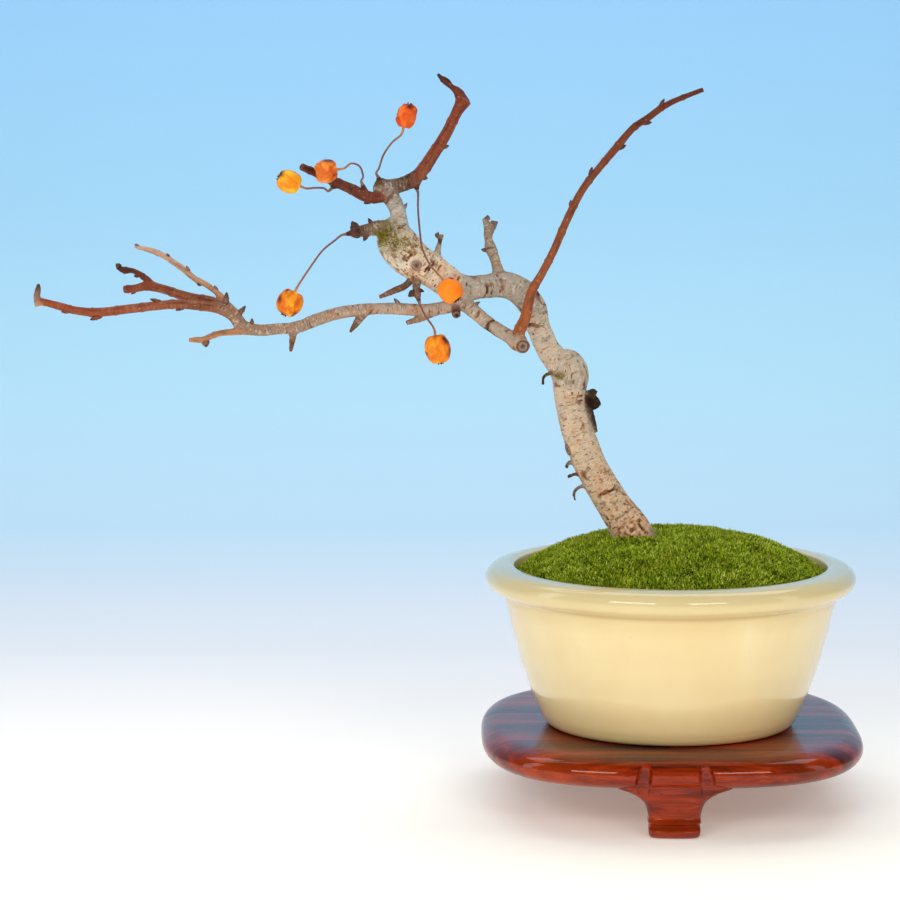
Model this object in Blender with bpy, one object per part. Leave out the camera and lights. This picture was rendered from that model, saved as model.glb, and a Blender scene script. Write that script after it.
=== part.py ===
"""A small crabapple bonsai in winter: a bare leaning tree with six dried fruits, in a round glazed
pot with a mossed top, on a carved stand with three feet. The tree's front faces -Y.

Sizes are in millimetres and are turned to metres by MM. Until the last step everything is placed
from the axis of the pot, with z = 0 where the stand's feet touch the table.
"""

import math

import bmesh
import bpy
from mathutils import Matrix, Vector, noise

MM = 0.001
GAP = 0.3  # clearance between two pieces that touch

# Stand: a board that is round at the corners and bowed along its sides, on three feet
BOARD_MIDDLE = Vector((0.8, 8.0))
BOARD_HALF_WIDTH = 77.5
BOARD_HALF_DEPTH = 83.0
BOARD_SQUARENESS = 3.0
STAND_HEIGHT = 32.0
BOARD_THICKNESS = 12.5
NOSE = 9.0  # width of the rounded edge
FEET = [(-1.5, 0.0), (142.0, 19.0), (-142.0, 19.0)]  # turn from the front in degrees, shift outward
SOLE_WIDTH = 20.5
NECK_WIDTH = 21.0
NOTCH_RADIUS = 2.9

# Pot
RIM_RADIUS = 75.0
OPENING_RADIUS = 63.3
POT_HEIGHT = 65.8
FLOOR_THICKNESS = 6.5
DRAIN_RADIUS = 9.0
POT_SEGMENTS = 42
POT_BASE_Z = STAND_HEIGHT + GAP

# Moss and soil
MOSS_EDGE_Z = POT_BASE_Z + 62.5
MOSS_RISE = 16.5  # from the edge of the moss to the middle of the mound
MOSS_THICKNESS = 4.0
MOUND_SEGMENTS = 36

# Drain screen
SCREEN_SIDE = 26.0
SCREEN_THICKNESS = 1.2
SCREEN_HOLES = 4
SCREEN_BAR = 1.6

# Tree: the trunk leaves the moss here and leans to the left
TRUNK_FOOT = Vector((-14.2, -5.0, 108.0))
STUMP_DIRECTION = Vector((0.42, 0.0, -0.91))
STUMP_LENGTH = 30.0
STUMP_TOP_RADIUS = 8.6
STUMP_END_RADIUS = 6.5
TRUNK_SIDES = 12
LIMB_SIDES = 8
TWIG_SIDES = 6
STALK_SIDES = 5
BUD_SIDES = 4

# Each limb is a list of (x, y, z, diameter) along its middle line, read from the photograph at
# 2.46 pixels to the millimetre, with the depth y judged from what passes in front of what.
TRUNK = [
    (-14.2, -5, 108, 16.0), (-18.8, -4, 116, 15.2), (-24.6, -3, 124.5, 13.8), (-32.6, -1, 138, 13.0),
    (-36.3, 1, 147, 13.2), (-39, 2, 154.5, 12.4), (-41, 4, 163, 11.8), (-41.2, 5, 168.5, 13.0),
    (-42, 5, 173.7, 12.2), (-45, 5, 178.5, 11.0), (-49.3, 5, 184, 9.8), (-52, 4, 189.5, 9.6),
    (-54.2, 3, 195, 9.5), (-56, 2, 202, 10.2), (-61, 1, 208.5, 10.5), (-67.5, 0, 211.5, 10.0),
    (-75, -2, 211, 8.8), (-83, -3, 210.5, 9.6), (-90, -3, 212.5, 12.0), (-97, -3, 217.5, 12.8),
    (-103.8, -2, 221.3, 14.6), (-109.6, -1.5, 226.6, 16.2), (-112, 1, 231.5, 13.4), (-110.4, 2, 237, 7.6),
    (-111, 3, 242, 6.3), (-113.5, 3, 246.5, 6.0), (-116, 3, 250.5, 6.4),
]
TRUNK_BURR = [
    (-42, 5, 168, 8.0), (-40.6, 5, 171.5, 13.0), (-40.9, 4.5, 175.5, 14.6), (-41.6, 4.5, 179.2, 12.4),
    (-42.3, 4.5, 181.6, 7.0),
]
CROWN_RIGHT = [
    (-117.6, 3, 249.6, 6.0), (-113, 3.5, 250.6, 6.2), (-107.5, 5, 252, 6.0), (-103.5, 6, 254, 5.6),
    (-100, 8, 258, 5.2), (-97, 9, 262.5, 4.9), (-91.5, 11, 271, 4.6), (-87, 12, 280, 4.4),
    (-84, 13, 285.3, 6.2),
]
CROWN_TIP = [
    (-84, 13, 284.5, 4.6), (-86.5, 12, 288.5, 3.6), (-89, 11, 290.5, 2.2), (-91, 10, 292.5, 3.0),
    (-93, 9, 294, 2.0), (-94.5, 8, 295.7, 1.2),
]
CROWN_LEFT = [
    (-114, 3, 247.5, 4.4), (-119.5, 0, 246.5, 4.6), (-124, -3, 247.5, 4.7), (-129.5, -6, 250.5, 4.2),
    (-136, -10, 253.5, 3.6), (-144, -13, 257.5, 3.2), (-148.8, -15, 259.7, 2.9),
]
LEFT_BOUGH = [
    (-84, -3, 208, 8.0), (-89, -4, 203.5, 5.8), (-97, -6, 202, 4.8), (-104.5, -7, 202, 4.8),
    (-112, -8, 202.5, 4.8), (-119.5, -9, 202.5, 4.6), (-127, -9, 202, 4.8), (-135.5, -9, 200.5, 4.8),
    (-143, -8, 198, 5.0), (-151, -8, 195, 4.8), (-158, -9, 194.5, 4.4), (-166, -10, 194, 4.6),
    (-172.5, -10, 195.5, 5.2), (-176, -11, 200, 5.2), (-181, -12, 204, 4.6),
]
TWIG_LONG = [
    (-177, -11, 201, 4.4), (-182.5, -12, 203, 4.2), (-188, -14, 204, 4.0), (-197.5, -16, 205, 3.6),
    (-206.5, -18, 204.5, 3.6), (-216, -19, 203.5, 3.6), (-229, -19, 202, 3.6), (-238.5, -17, 202.5, 3.2),
    (-245, -15, 204, 3.2), (-251.5, -13, 205.5, 2.8), (-254.5, -13, 206, 2.6),
]
TWIG_LONG_BUD = [
    (-253.6, -13, 204, 3.2), (-254.6, -13, 207.5, 2.6), (-254, -13, 210.5, 2.4), (-253.8, -13, 213, 0.8),
]
TWIG_MIDDLE = [
    (-178.5, -11, 202.5, 4.0), (-185, -9, 205.5, 4.0), (-192, -7, 206.5, 4.0), (-198.5, -5, 208, 3.8),
    (-205, -3, 210, 3.6), (-211, -1, 211, 3.6), (-216.5, 0, 210, 3.2), (-221, 1, 209.5, 3.2),
]
TWIG_MIDDLE_SIDE = [
    (-209, -1, 210.5, 2.8), (-211.5, 0, 213.5, 2.6), (-215.5, 2, 216, 2.4), (-218, 3, 217, 2.1),
    (-221, 4, 217, 2.8), (-224, 5, 218, 1.4),
]
TWIG_TOP = [
    (-177, -11, 202, 2.8), (-181, -8, 207, 2.5), (-187, -4, 211.5, 2.4), (-192.5, 0, 214, 2.4),
    (-198, 4, 218, 2.4), (-205.5, 8, 222.5, 2.2), (-210.5, 10, 224.5, 2.2), (-217.5, 13, 226, 1.2),
]
TWIG_LOW = [
    (-172, -10, 194, 3.2), (-175.5, -11, 193.5, 2.8), (-182, -14, 193, 2.4), (-188, -18, 191, 2.4),
    (-190.5, -19, 191, 2.4), (-193.5, -20, 191, 1.4),
]
STRUT = [
    (-86, -3, 206, 6.4), (-78.5, -7, 200, 5.6), (-73.5, -9, 196, 5.6), (-67.5, -12, 192.5, 5.6),
    (-61.5, -16, 189.5, 6.0),
]
STRUT_KNOB = [(-62, -12.5, 189.3, 6.6), (-60.6, -19.5, 188.4, 6.0)]
LONG_SHOOT = [
    (-63.5, -14, 189, 5.0), (-61.5, -15, 195, 4.8), (-59.5, -14, 199.5, 4.4), (-57, -12, 209.5, 3.8),
    (-53, -10, 216.5, 3.4), (-48, -8, 226, 3.2), (-43, -6, 237.5, 3.2), (-36.5, -4, 250, 3.0),
    (-29, -2, 259.5, 3.0), (-22.5, 0, 267, 3.2), (-16.5, 1, 274, 2.8), (-10, 2, 278.5, 2.8),
    (-4.5, 3, 282.5, 2.6), (1.5, 4, 285.5, 2.3), (12, 6, 289.5, 1.9),
]
SPUR_RIGHT = [
    (-69, 0, 211, 5.6), (-71, 2, 220, 4.0), (-73.2, 3, 226, 4.6), (-74, 4, 229, 3.2),
    (-74.3, 4, 233.5, 3.0), (-75.6, 4, 238, 2.3),
]
SPUR_RIGHT_FORK = [(-74.3, 4, 231.5, 2.8), (-72.2, 3, 234.5, 2.5), (-71.6, 3, 237, 2.9)]
SPUR_MID = [(-94.5, -2, 217, 6.0), (-94.8, 0, 224, 3.0), (-93.8, 1, 228, 2.0), (-93.4, 1, 231.6, 2.7)]
SPUR_DOWN = [(-103.5, -3, 218, 4.6), (-103, -8, 213, 3.4), (-103, -10, 210, 3.0), (-102.6, -11, 207.8, 2.4)]
THORN_TWIG = [
    (-104, -3, 215, 3.0), (-107.5, -5, 211.5, 2.8), (-112.5, -8, 209.5, 2.6), (-117.7, -11, 207.4, 1.5),
]
BUD_ARM = [
    (-110, 0, 230, 9.5), (-114, -1, 233, 8.0), (-118, -2, 234.5, 6.2), (-122.5, -3, 233.8, 4.8),
    (-127.5, -5, 232.8, 4.2),
]
FRONT_STUB = [(-103.5, -1, 219, 5.4), (-103, -10.4, 220, 4.0)]
BOUGH_STUB = [(-87.5, -4, 203.5, 4.0), (-87, -10, 200, 3.4)]
SPUR_UNDER = [(-96, -6, 201, 3.2), (-101.5, -8, 198.5, 2.8), (-107, -10, 197, 1.8)]
SPUR_BOUGH_1 = [(-123, -9, 202, 3.2), (-127, -11, 197, 2.8), (-129.5, -13, 193.5, 1.0)]
SPUR_BOUGH_2 = [(-152, -8, 195, 3.2), (-153, -9, 189, 2.4), (-153.5, -10, 185.5, 1.2)]
DEAD_KNOB = [(-40, 5, 165.5, 6.5), (-35, 5.5, 164.5, 7.6), (-31.2, 6, 163.2, 7.4), (-29, 6, 162.6, 5.0)]
KNOB_RIDGE = [(-34.5, 5, 161.5, 4.4), (-32.3, 5, 157.5, 3.0), (-30.2, 4, 151, 1.4)]
SIDE_SCAR = [(-37.5, -1, 144.5, 4.6), (-40.2, -3, 142.8, 4.8), (-41.4, -3.6, 141.2, 2.8)]

# Short spurs that carry a fruit stalk, each ending in the flat scar that the stalk stands on.
FRUIT_SPURS = [
    [(-117, 3, 251, 3.4), (-118.4, 1, 254.5, 1.6)],
    [(-123.5, -4.5, 248.5, 3.0), (-124.5, -7.5, 252, 1.6)],
    [(-134, -9, 253, 2.8), (-136.5, -10.5, 251, 1.6)],
    [(-127.5, -5.5, 233, 2.6), (-131, -7, 232.3, 1.6)],
    [(-103.5, 6, 253, 3.0), (-102.8, 3.6, 249.5, 1.6)],
    [(-102.7, -10.5, 208.4, 2.2), (-102, -12, 206, 1.6)],
]

# A stalk goes on from its spur through these points to the fruit's dimple: (x, y, z).
STALK_ROUTES = [
    [(-118, 0, 258.5), (-116.3, 0, 263.5), (-112.8, 0, 268.6)],
    [(-124.2, -10.8, 255.6), (-125.4, -14.6, 259.6), (-128.6, -17.6, 261)],
    [(-140, -11.5, 250.9), (-144, -12, 251)],
    [(-135.5, -9, 230), (-140.5, -12, 226), (-146, -14, 218.5)],
    [(-102.4, -2, 241.5), (-101.5, -8, 232), (-100.5, -12.5, 226.5), (-97.5, -15, 220.5)],
    [(-99.4, -13.4, 200)],
]

# Each fruit: (middle x, y, z), (direction from stalk end to calyx), diameter, length
FRUITS = [
    ((-107.0, 0.0, 279.0), (0.28, 0.0, 0.96), 8.8, 11.2),
    ((-138.5, -19.0, 258.0), (-0.95, -0.1, -0.15), 9.9, 10.2),
    ((-153.5, -12.0, 253.5), (-0.85, -0.1, 0.35), 9.7, 10.4),
    ((-153.5, -15.0, 205.5), (-0.45, -0.1, -0.9), 10.8, 11.6),
    ((-89.5, -16.5, 210.5), (0.6, -0.25, -0.8), 9.9, 10.6),
    ((-94.5, -14.0, 187.0), (0.2, -0.1, -1.0), 10.6, 12.8),
]
FRUIT_SEGMENTS = 15
DIMPLE_DEPTH = 1.7
STALK_DIAMETER = 1.0

# Buds: (limb, share of its length, angle round it, length, width, lean). Angle 0 is the front, and
# a larger lean presses the bud closer to its limb.
BUDS = [
    (TRUNK, 0.94, 90, 2.4, 2.0, 1.0), (CROWN_RIGHT, 0.57, 270, 2.0, 2.3, 1.0),
    (CROWN_RIGHT, 0.3, 270, 1.4, 2.6, 0.6), (CROWN_LEFT, 0.45, 0, 1.2, 2.0, 1.0),
    (CROWN_LEFT, 0.2, 250, 1.8, 2.6, 1.0), (LEFT_BOUGH, 0.27, 90, 2.6, 2.2, 0.9),
    (LEFT_BOUGH, 0.85, 90, 2.0, 2.2, 0.2), (LEFT_BOUGH, 0.93, 90, 3.6, 2.6, 0.2),
    (LEFT_BOUGH, 0.99, 80, 4.4, 3.0, 0.6), (TWIG_LONG, 0.25, 270, 2.6, 2.4, 2.0),
    (TWIG_LONG, 0.36, 90, 4.0, 2.2, 2.2), (TWIG_LONG, 0.66, 270, 4.2, 3.0, 2.4),
    (TWIG_LONG, 0.83, 250, 2.6, 2.2, 2.4), (TWIG_MIDDLE, 0.9, 270, 1.6, 1.8, 1.5),
    (TWIG_MIDDLE_SIDE, 0.45, 270, 1.6, 1.8, 1.5), (TWIG_TOP, 0.2, 90, 2.0, 1.6, 2.4),
    (TWIG_TOP, 0.35, 270, 1.6, 2.0, 2.0), (TWIG_TOP, 0.5, 90, 2.4, 1.8, 2.4),
    (TWIG_TOP, 0.7, 90, 1.8, 1.6, 2.4), (TWIG_LOW, 0.12, 90, 2.0, 1.6, 0.4),
    (TWIG_LOW, 0.72, 270, 2.2, 3.4, 0.2), (BUD_ARM, 0.97, 90, 3.4, 2.8, 0.3),
    (BUD_ARM, 0.98, 60, 2.8, 3.0, 1.2), (BUD_ARM, 0.92, 200, 3.0, 2.8, 0.4),
    (BUD_ARM, 0.75, 270, 2.6, 2.6, 0.8), (BUD_ARM, 0.62, 90, 2.0, 2.2, 0.3),
    (BUD_ARM, 0.97, 0, 2.8, 2.8, 0.6), (LONG_SHOOT, 0.45, 90, 2.2, 1.9, 2.2),
    (LONG_SHOOT, 0.56, 90, 3.0, 2.0, 2.0), (LONG_SHOOT, 0.68, 270, 2.6, 2.2, 2.0),
    (LONG_SHOOT, 0.79, 270, 2.8, 2.2, 2.0), (LONG_SHOOT, 0.86, 90, 3.0, 2.0, 1.8),
    (LONG_SHOOT, 0.93, 200, 2.0, 1.8, 2.0), (SPUR_RIGHT, 0.55, 270, 1.8, 2.2, 0.4),
    (SPUR_DOWN, 0.85, 270, 2.6, 3.2, 0.5), (SPUR_DOWN, 0.8, 90, 1.8, 1.8, 0.5),
    (STRUT, 0.2, 90, 2.0, 1.8, 0.5),
]

# Curls of loose bark that stand off the shaded side of the trunk: (x, y, z, diameter)
BARK_CURLS = [
    [(-47, 2, 176, 1.6), (-51.5, 0, 174.5, 1.2), (-52, 0, 171, 1.0)],
    [(-37, -1, 139.5, 2.2), (-41.5, -3, 139.5, 1.6), (-42.5, -3, 137.5, 1.2)],
    [(-34, -2, 134, 2.0), (-39, -4, 135, 1.4), (-42, -5, 134, 1.4)],
    [(-32, -3, 130, 2.0), (-37, -5, 130, 1.4), (-39.5, -5, 127.5, 1.2), (-39, -5, 124.5, 1.0)],
]


def new_object(name, mesh_data, material):
    obj = bpy.data.objects.new(name, mesh_data)
    bpy.context.scene.collection.objects.link(obj)
    if material is not None:
        obj.data.materials.append(material)
    return obj


def mesh_from(bm, name):
    """Turns a bmesh in millimetres into a mesh in metres with its faces pointing out."""
    bmesh.ops.recalc_face_normals(bm, faces=bm.faces)
    bm.transform(Matrix.Scale(MM, 4))
    data = bpy.data.meshes.new(name)
    bm.to_mesh(data)
    bm.free()
    return data


def finish_material(name, colour, roughness):
    material = bpy.data.materials.new(name)
    material.use_nodes = True
    shader = material.node_tree.nodes["Principled BSDF"]
    shader.inputs["Base Color"].default_value = (*colour, 1.0)
    shader.inputs["Roughness"].default_value = roughness
    shader.inputs["Metallic"].default_value = 0.0
    return material


def smooth(obj, angle=50):
    obj.data.shade_smooth()
    obj.data.set_sharp_from_angle(angle=math.radians(angle))


def skin_rings(bm, rings, close_start=True, close_end=True):
    """Joins rings of vertices of one count with quads, and caps the ends."""
    for ring, following in zip(rings, rings[1:]):
        count = len(ring)
        for i in range(count):
            j = (i + 1) % count
            bm.faces.new((ring[i], ring[j], following[j], following[i]))
    if close_start:
        bm.faces.new(list(reversed(rings[0])))
    if close_end:
        bm.faces.new(rings[-1])


def turned(name, profile, segments):
    """A closed solid turned from a closed (radius, z) outline that stays off the axis."""
    bm = bmesh.new()
    rings = []
    for k in range(segments):
        turn = 2 * math.pi * k / segments
        rings.append([bm.verts.new((r * math.cos(turn), r * math.sin(turn), z)) for r, z in profile])
    skin_rings(bm, rings + rings[:1], False, False)
    return mesh_from(bm, name)


def smooth_route(points, steps):
    """Catmull-Rom points through a list of tuples of any length, with steps to each span."""
    found = []
    last = len(points) - 1
    for i in range(last):
        near = [points[max(i - 1, 0)], points[i], points[i + 1], points[min(i + 2, last)]]
        for s in range(steps):
            t = s / steps
            weights = (
                -0.5 * t + t * t - 0.5 * t**3,
                1 - 2.5 * t * t + 1.5 * t**3,
                0.5 * t + 2 * t * t - 1.5 * t**3,
                -0.5 * t * t + 0.5 * t**3,
            )
            found.append(tuple(sum(w * p[k] for w, p in zip(weights, near)) for k in range(len(points[0]))))
    found.append(points[last])
    return found


def along(limb, share):
    """Place, direction and diameter at a share of a limb's length."""
    route = smooth_route(limb, 4)
    lengths = [0.0]
    for a, b in zip(route, route[1:]):
        lengths.append(lengths[-1] + (Vector(b[:3]) - Vector(a[:3])).length)
    target = share * lengths[-1]
    i = max(k for k in range(len(route) - 1) if lengths[k] <= target)
    place = Vector(route[i][:3])
    ahead = Vector(route[i + 1][:3]) - place
    part = (target - lengths[i]) / max(ahead.length, 1e-6)
    return place + ahead * part, ahead.normalized(), route[i][3]


def ring_frames(middles):
    """A side and an up vector at each point of a path, turned as little as possible between them."""
    frames = []
    side = None
    for i, middle in enumerate(middles):
        before = middles[max(i - 1, 0)]
        after = middles[min(i + 1, len(middles) - 1)]
        direction = (after - before).normalized()
        if side is None:
            side = Vector((0.0, -1.0, 0.0))
        side = (side - direction * side.dot(direction)).normalized()
        frames.append((middle, side, direction.cross(side)))
    return frames


def add_tube(bm, limb, sides, steps, relief=0.0):
    """A limb as a closed tube. relief roughens it with bark ridges, as a share of its radius."""
    route = smooth_route(limb, steps)
    frames = ring_frames([Vector(p[:3]) for p in route])
    rings = []
    for (middle, side, up), point in zip(frames, route):
        ring = []
        for k in range(sides):
            turn = 2 * math.pi * k / sides
            outward = side * math.cos(turn) + up * math.sin(turn)
            radius = point[3] / 2
            bumps = noise.noise((middle + outward * radius) * 0.22)
            ring.append(bm.verts.new(middle + outward * radius * (1 + relief * bumps)))
        rings.append(ring)
    skin_rings(bm, rings)


def tube_mesh(name, limb, sides, steps, relief=0.0):
    bm = bmesh.new()
    add_tube(bm, limb, sides, steps, relief)
    return mesh_from(bm, name)


def bud_limb(limb, share, angle, length, width, lean):
    """A blunt bud as a short limb that leans towards the tip of the limb that carries it."""
    place, direction, diameter = along(limb, share)
    front = Vector((0.0, -1.0, 0.0))
    side = (front - direction * front.dot(direction)).normalized()
    up = direction.cross(side)
    if up.z < 0:
        up = -up
    turn = math.radians(angle)
    outward = side * math.cos(turn) + up * math.sin(turn)
    ahead = (outward + direction * lean).normalized()
    root = place + outward * (diameter * 0.3)
    reach = diameter * 0.2 + length
    return [
        (*root, width),
        (*(root + ahead * reach * 0.6), width * 0.94),
        (*(root + ahead * reach), width * 0.4),
    ]


def stump(radius_extra):
    """The straight buried foot of the trunk, thicker by radius_extra and a little longer when it
    cuts the hole that it stands in."""
    direction = STUMP_DIRECTION.normalized()
    top = TRUNK_FOOT - direction * (6.0 if radius_extra else 0.0)
    end = TRUNK_FOOT + direction * (STUMP_LENGTH + radius_extra)
    limb = [
        (*top, 2 * (STUMP_TOP_RADIUS + radius_extra)),
        (*(TRUNK_FOOT + direction), 2 * (STUMP_TOP_RADIUS + radius_extra)),
        (*end, 2 * (STUMP_END_RADIUS + radius_extra)),
    ]
    return limb


def united(name, meshes, material):
    """One mesh from many that overlap, by a Boolean union that is applied."""
    parts = bpy.data.collections.new(name + "_parts")
    bpy.context.scene.collection.children.link(parts)
    for i, data in enumerate(meshes[1:]):
        parts.objects.link(bpy.data.objects.new(f"{name}_part_{i}", data))
    obj = new_object(name, meshes[0], None)
    union = obj.modifiers.new("union", "BOOLEAN")
    union.operation = "UNION"
    union.operand_type = "COLLECTION"
    union.collection = parts
    union.solver = "EXACT"
    union.use_self = True
    apply_modifiers(obj)
    for part in list(parts.objects):
        bpy.data.objects.remove(part)
    bpy.data.collections.remove(parts)
    obj.data.materials.clear()
    obj.data.materials.append(material)
    return obj


def apply_modifiers(obj):
    graph = bpy.context.evaluated_depsgraph_get()
    data = bpy.data.meshes.new_from_object(obj.evaluated_get(graph))
    obj.modifiers.clear()
    obj.data = data


def cut(obj, cutter_mesh):
    """Takes a closed shape away from an object, and removes the cutter."""
    cutter = new_object(obj.name + "_cutter", cutter_mesh, None)
    difference = obj.modifiers.new("cut", "BOOLEAN")
    difference.operation = "DIFFERENCE"
    difference.object = cutter
    difference.solver = "EXACT"
    apply_modifiers(obj)
    bpy.data.objects.remove(cutter)


def make_tree(material):
    """Trunk, boughs, twigs, spurs and buds, which grew as one piece of wood."""
    meshes = [
        tube_mesh("trunk", TRUNK, TRUNK_SIDES, 2, 0.09),
        tube_mesh("stump", stump(0.0), TRUNK_SIDES, 1),
    ]
    for limb in (TRUNK_BURR, CROWN_RIGHT, LEFT_BOUGH, STRUT, BUD_ARM, SPUR_RIGHT, SPUR_MID):
        meshes.append(tube_mesh("bough", limb, LIMB_SIDES, 2, 0.08))
    for limb in (LONG_SHOOT, TWIG_LONG, TWIG_MIDDLE, CROWN_LEFT, TWIG_TOP):
        meshes.append(tube_mesh("twig", limb, TWIG_SIDES, 2, 0.05))
    for limb in (
        CROWN_TIP, TWIG_LONG_BUD, TWIG_MIDDLE_SIDE, TWIG_LOW, STRUT_KNOB, SPUR_RIGHT_FORK, SPUR_DOWN,
        THORN_TWIG, FRONT_STUB, BOUGH_STUB, SPUR_UNDER, SPUR_BOUGH_1, SPUR_BOUGH_2, DEAD_KNOB,
        KNOB_RIDGE, SIDE_SCAR, *FRUIT_SPURS, *BARK_CURLS,
    ):
        meshes.append(tube_mesh("spur", limb, TWIG_SIDES, 1))
    for bud in BUDS:
        meshes.append(tube_mesh("bud", bud_limb(*bud), BUD_SIDES, 1))
    return united("tree", meshes, material)


def make_fruit(name, middle, axis, diameter, length, seed, material):
    """A dried crabapple: a wrinkled ball with a dimple for its stalk and a five-pointed calyx."""
    half = length / 2
    radius = diameter / 2
    outline = [(-half + DIMPLE_DEPTH, 0.9), (-half + 0.5, 1.9), (-half, 2.9)]
    for k in range(1, 8):
        angle = math.radians(-58 + 17 * k)
        outline.append((half * math.sin(angle), radius * math.cos(angle) ** 0.8))
    outline += [(half * 0.96, 2.4), (half - 0.2, 1.5)]
    turn_to_axis = Vector(axis).normalized().to_track_quat("Z", "Y").to_matrix()
    bm = bmesh.new()
    rings = []
    for level, (height, reach) in enumerate(outline):
        ring = []
        for k in range(FRUIT_SEGMENTS):
            turn = 2 * math.pi * k / FRUIT_SEGMENTS
            wrinkle = noise.noise(Vector((3 * math.cos(turn), 3 * math.sin(turn), height * 0.3 + 9 * seed)))
            pleat = math.cos(5 * turn + seed) * 0.02
            body = 2 < level < len(outline) - 2
            sepal = 0.9 if level == len(outline) - 1 and k % 3 == 0 else 0.0
            spread = reach * (1 + 0.09 * wrinkle + pleat) if body else reach
            local = Vector((spread * math.cos(turn), spread * math.sin(turn), height + sepal))
            ring.append(bm.verts.new(turn_to_axis @ local + Vector(middle)))
        rings.append(ring)
    skin_rings(bm, rings)
    obj = new_object(name, mesh_from(bm, name), material)
    smooth(obj)
    return obj


def make_stalk(name, spur, route, fruit, material):
    """A thin dried stalk from the flat end of its spur to the fruit's dimple."""
    middle, axis, _, length = fruit
    tip = Vector(spur[-1][:3])
    spur_direction = (tip - Vector(spur[-2][:3])).normalized()
    start = tip + spur_direction * GAP
    inward = Vector(axis).normalized()
    mouth = Vector(middle) - inward * (length / 2)
    end = mouth + inward * (DIMPLE_DEPTH - GAP)
    limb = [(*start, STALK_DIAMETER * 1.4), (*(start + spur_direction * 2.0), STALK_DIAMETER)]
    limb += [(*point, STALK_DIAMETER) for point in route]
    limb += [(*(mouth - inward * 2.0), STALK_DIAMETER), (*end, STALK_DIAMETER)]
    obj = new_object(name, tube_mesh(name, limb, STALK_SIDES, 2), material)
    smooth(obj)
    return obj


def make_pot(material):
    """A round bowl with a rolled lip, turned, with a foot ring and a drain hole."""
    base = POT_BASE_Z
    bead = [
        (RIM_RADIUS - 6.0 + 6.0 * math.cos(math.radians(a)), 60.2 + 5.2 * math.sin(math.radians(a)))
        for a in (-50, -20, 10, 40, 70)
    ]
    outline = [
        (DRAIN_RADIUS, 2.5), (41.0, 2.5), (43.5, 0.0), (48.0, 0.0), (50.4, 1.2), (52.2, 4.0),
        (56.6, 14.2), (60.3, 25.2), (63.8, 37.5), (66.8, 50.0),
        (68.0, 53.6), (70.2, 55.0), *bead, (66.4, POT_HEIGHT), (64.4, POT_HEIGHT - 0.6),
        (OPENING_RADIUS, POT_HEIGHT - 2.2), (62.3, 50.0), (59.6, 37.5), (55.4, 24.0), (49.4, 13.0),
        (43.0, 7.2), (38.0, FLOOR_THICKNESS), (DRAIN_RADIUS, FLOOR_THICKNESS),
    ]
    obj = new_object("pot", turned("pot", [(r, z + base) for r, z in outline], POT_SEGMENTS), material)
    smooth(obj, 35)
    return obj


def mound_z(radius, reach):
    """Height of the moss above its edge, for a radius out to reach."""
    return MOSS_RISE * (1 - (min(radius, reach) / reach) ** 2.2)


def make_mound(name, reach, base_points, lowered, roughness, material):
    """A domed solid that fills the pot's mouth. base_points closes it below, from edge to middle."""
    levels = 8
    bm = bmesh.new()
    profile = [(reach * (k + 1) / levels, k + 1) for k in range(levels)]
    rings = []
    for r, _ in profile:
        ring = []
        for k in range(MOUND_SEGMENTS):
            turn = 2 * math.pi * k / MOUND_SEGMENTS
            spot = Vector((r * math.cos(turn), r * math.sin(turn), 0.0))
            bump = roughness * noise.noise(spot * 0.12) * min(1.0, (reach - r) / 8.0)
            spot.z = MOSS_EDGE_Z + mound_z(r, reach) + bump - lowered
            ring.append(bm.verts.new(spot))
        rings.append(ring)
    for r, z in base_points:
        ring = []
        for k in range(MOUND_SEGMENTS):
            turn = 2 * math.pi * k / MOUND_SEGMENTS
            ring.append(bm.verts.new((r * math.cos(turn), r * math.sin(turn), z)))
        rings.append(ring)
    skin_rings(bm, rings)
    obj = new_object(name, mesh_from(bm, name), material)
    cut(obj, tube_mesh("hole", stump(GAP), TRUNK_SIDES, 1))
    obj.data.materials.clear()
    obj.data.materials.append(material)
    smooth(obj)
    return obj


def make_moss(material):
    reach = OPENING_RADIUS - 1.0
    under = [
        (reach * k / 8, MOSS_EDGE_Z - MOSS_THICKNESS + mound_z(reach * k / 8, reach))
        for k in (7.9, 6, 4, 2, 1)
    ]
    return make_mound("moss", reach, under, 0.0, 1.6, material)


def make_soil(material):
    """Soil under the moss, down to the drain screen and the pot's floor."""
    base = POT_BASE_Z
    wall = [(61.6, 50.0), (58.9, 37.5), (54.7, 24.3), (48.8, 13.6), (42.6, 8.3), (38.0, 8.3)]
    under = [(r, z + base) for r, z in wall]
    reach = OPENING_RADIUS - 1.0
    return make_mound("soil", reach - 0.4, under, MOSS_THICKNESS + GAP, 0.0, material)


def make_drain_screen(material):
    """A square plastic net that keeps the soil off the drain hole."""
    pitch = (SCREEN_SIDE - SCREEN_BAR) / SCREEN_HOLES
    low = POT_BASE_Z + FLOOR_THICKNESS + GAP
    marks = [-SCREEN_SIDE / 2]
    for k in range(SCREEN_HOLES):
        marks += [-SCREEN_SIDE / 2 + SCREEN_BAR + k * pitch, -SCREEN_SIDE / 2 + (k + 1) * pitch]
    marks.append(SCREEN_SIDE / 2)
    bm = bmesh.new()
    grid = [[bm.verts.new((x, y, low)) for y in marks] for x in marks]
    for i in range(len(marks) - 1):
        for j in range(len(marks) - 1):
            if i % 2 == 0 or j % 2 == 0:
                bm.faces.new((grid[i][j], grid[i + 1][j], grid[i + 1][j + 1], grid[i][j + 1]))
    raised = bmesh.ops.extrude_face_region(bm, geom=list(bm.faces))["geom"]
    top = [v for v in raised if isinstance(v, bmesh.types.BMVert)]
    bmesh.ops.translate(bm, verts=top, vec=(0, 0, SCREEN_THICKNESS))
    return new_object("drain_screen", mesh_from(bm, "drain_screen"), material)


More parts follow.
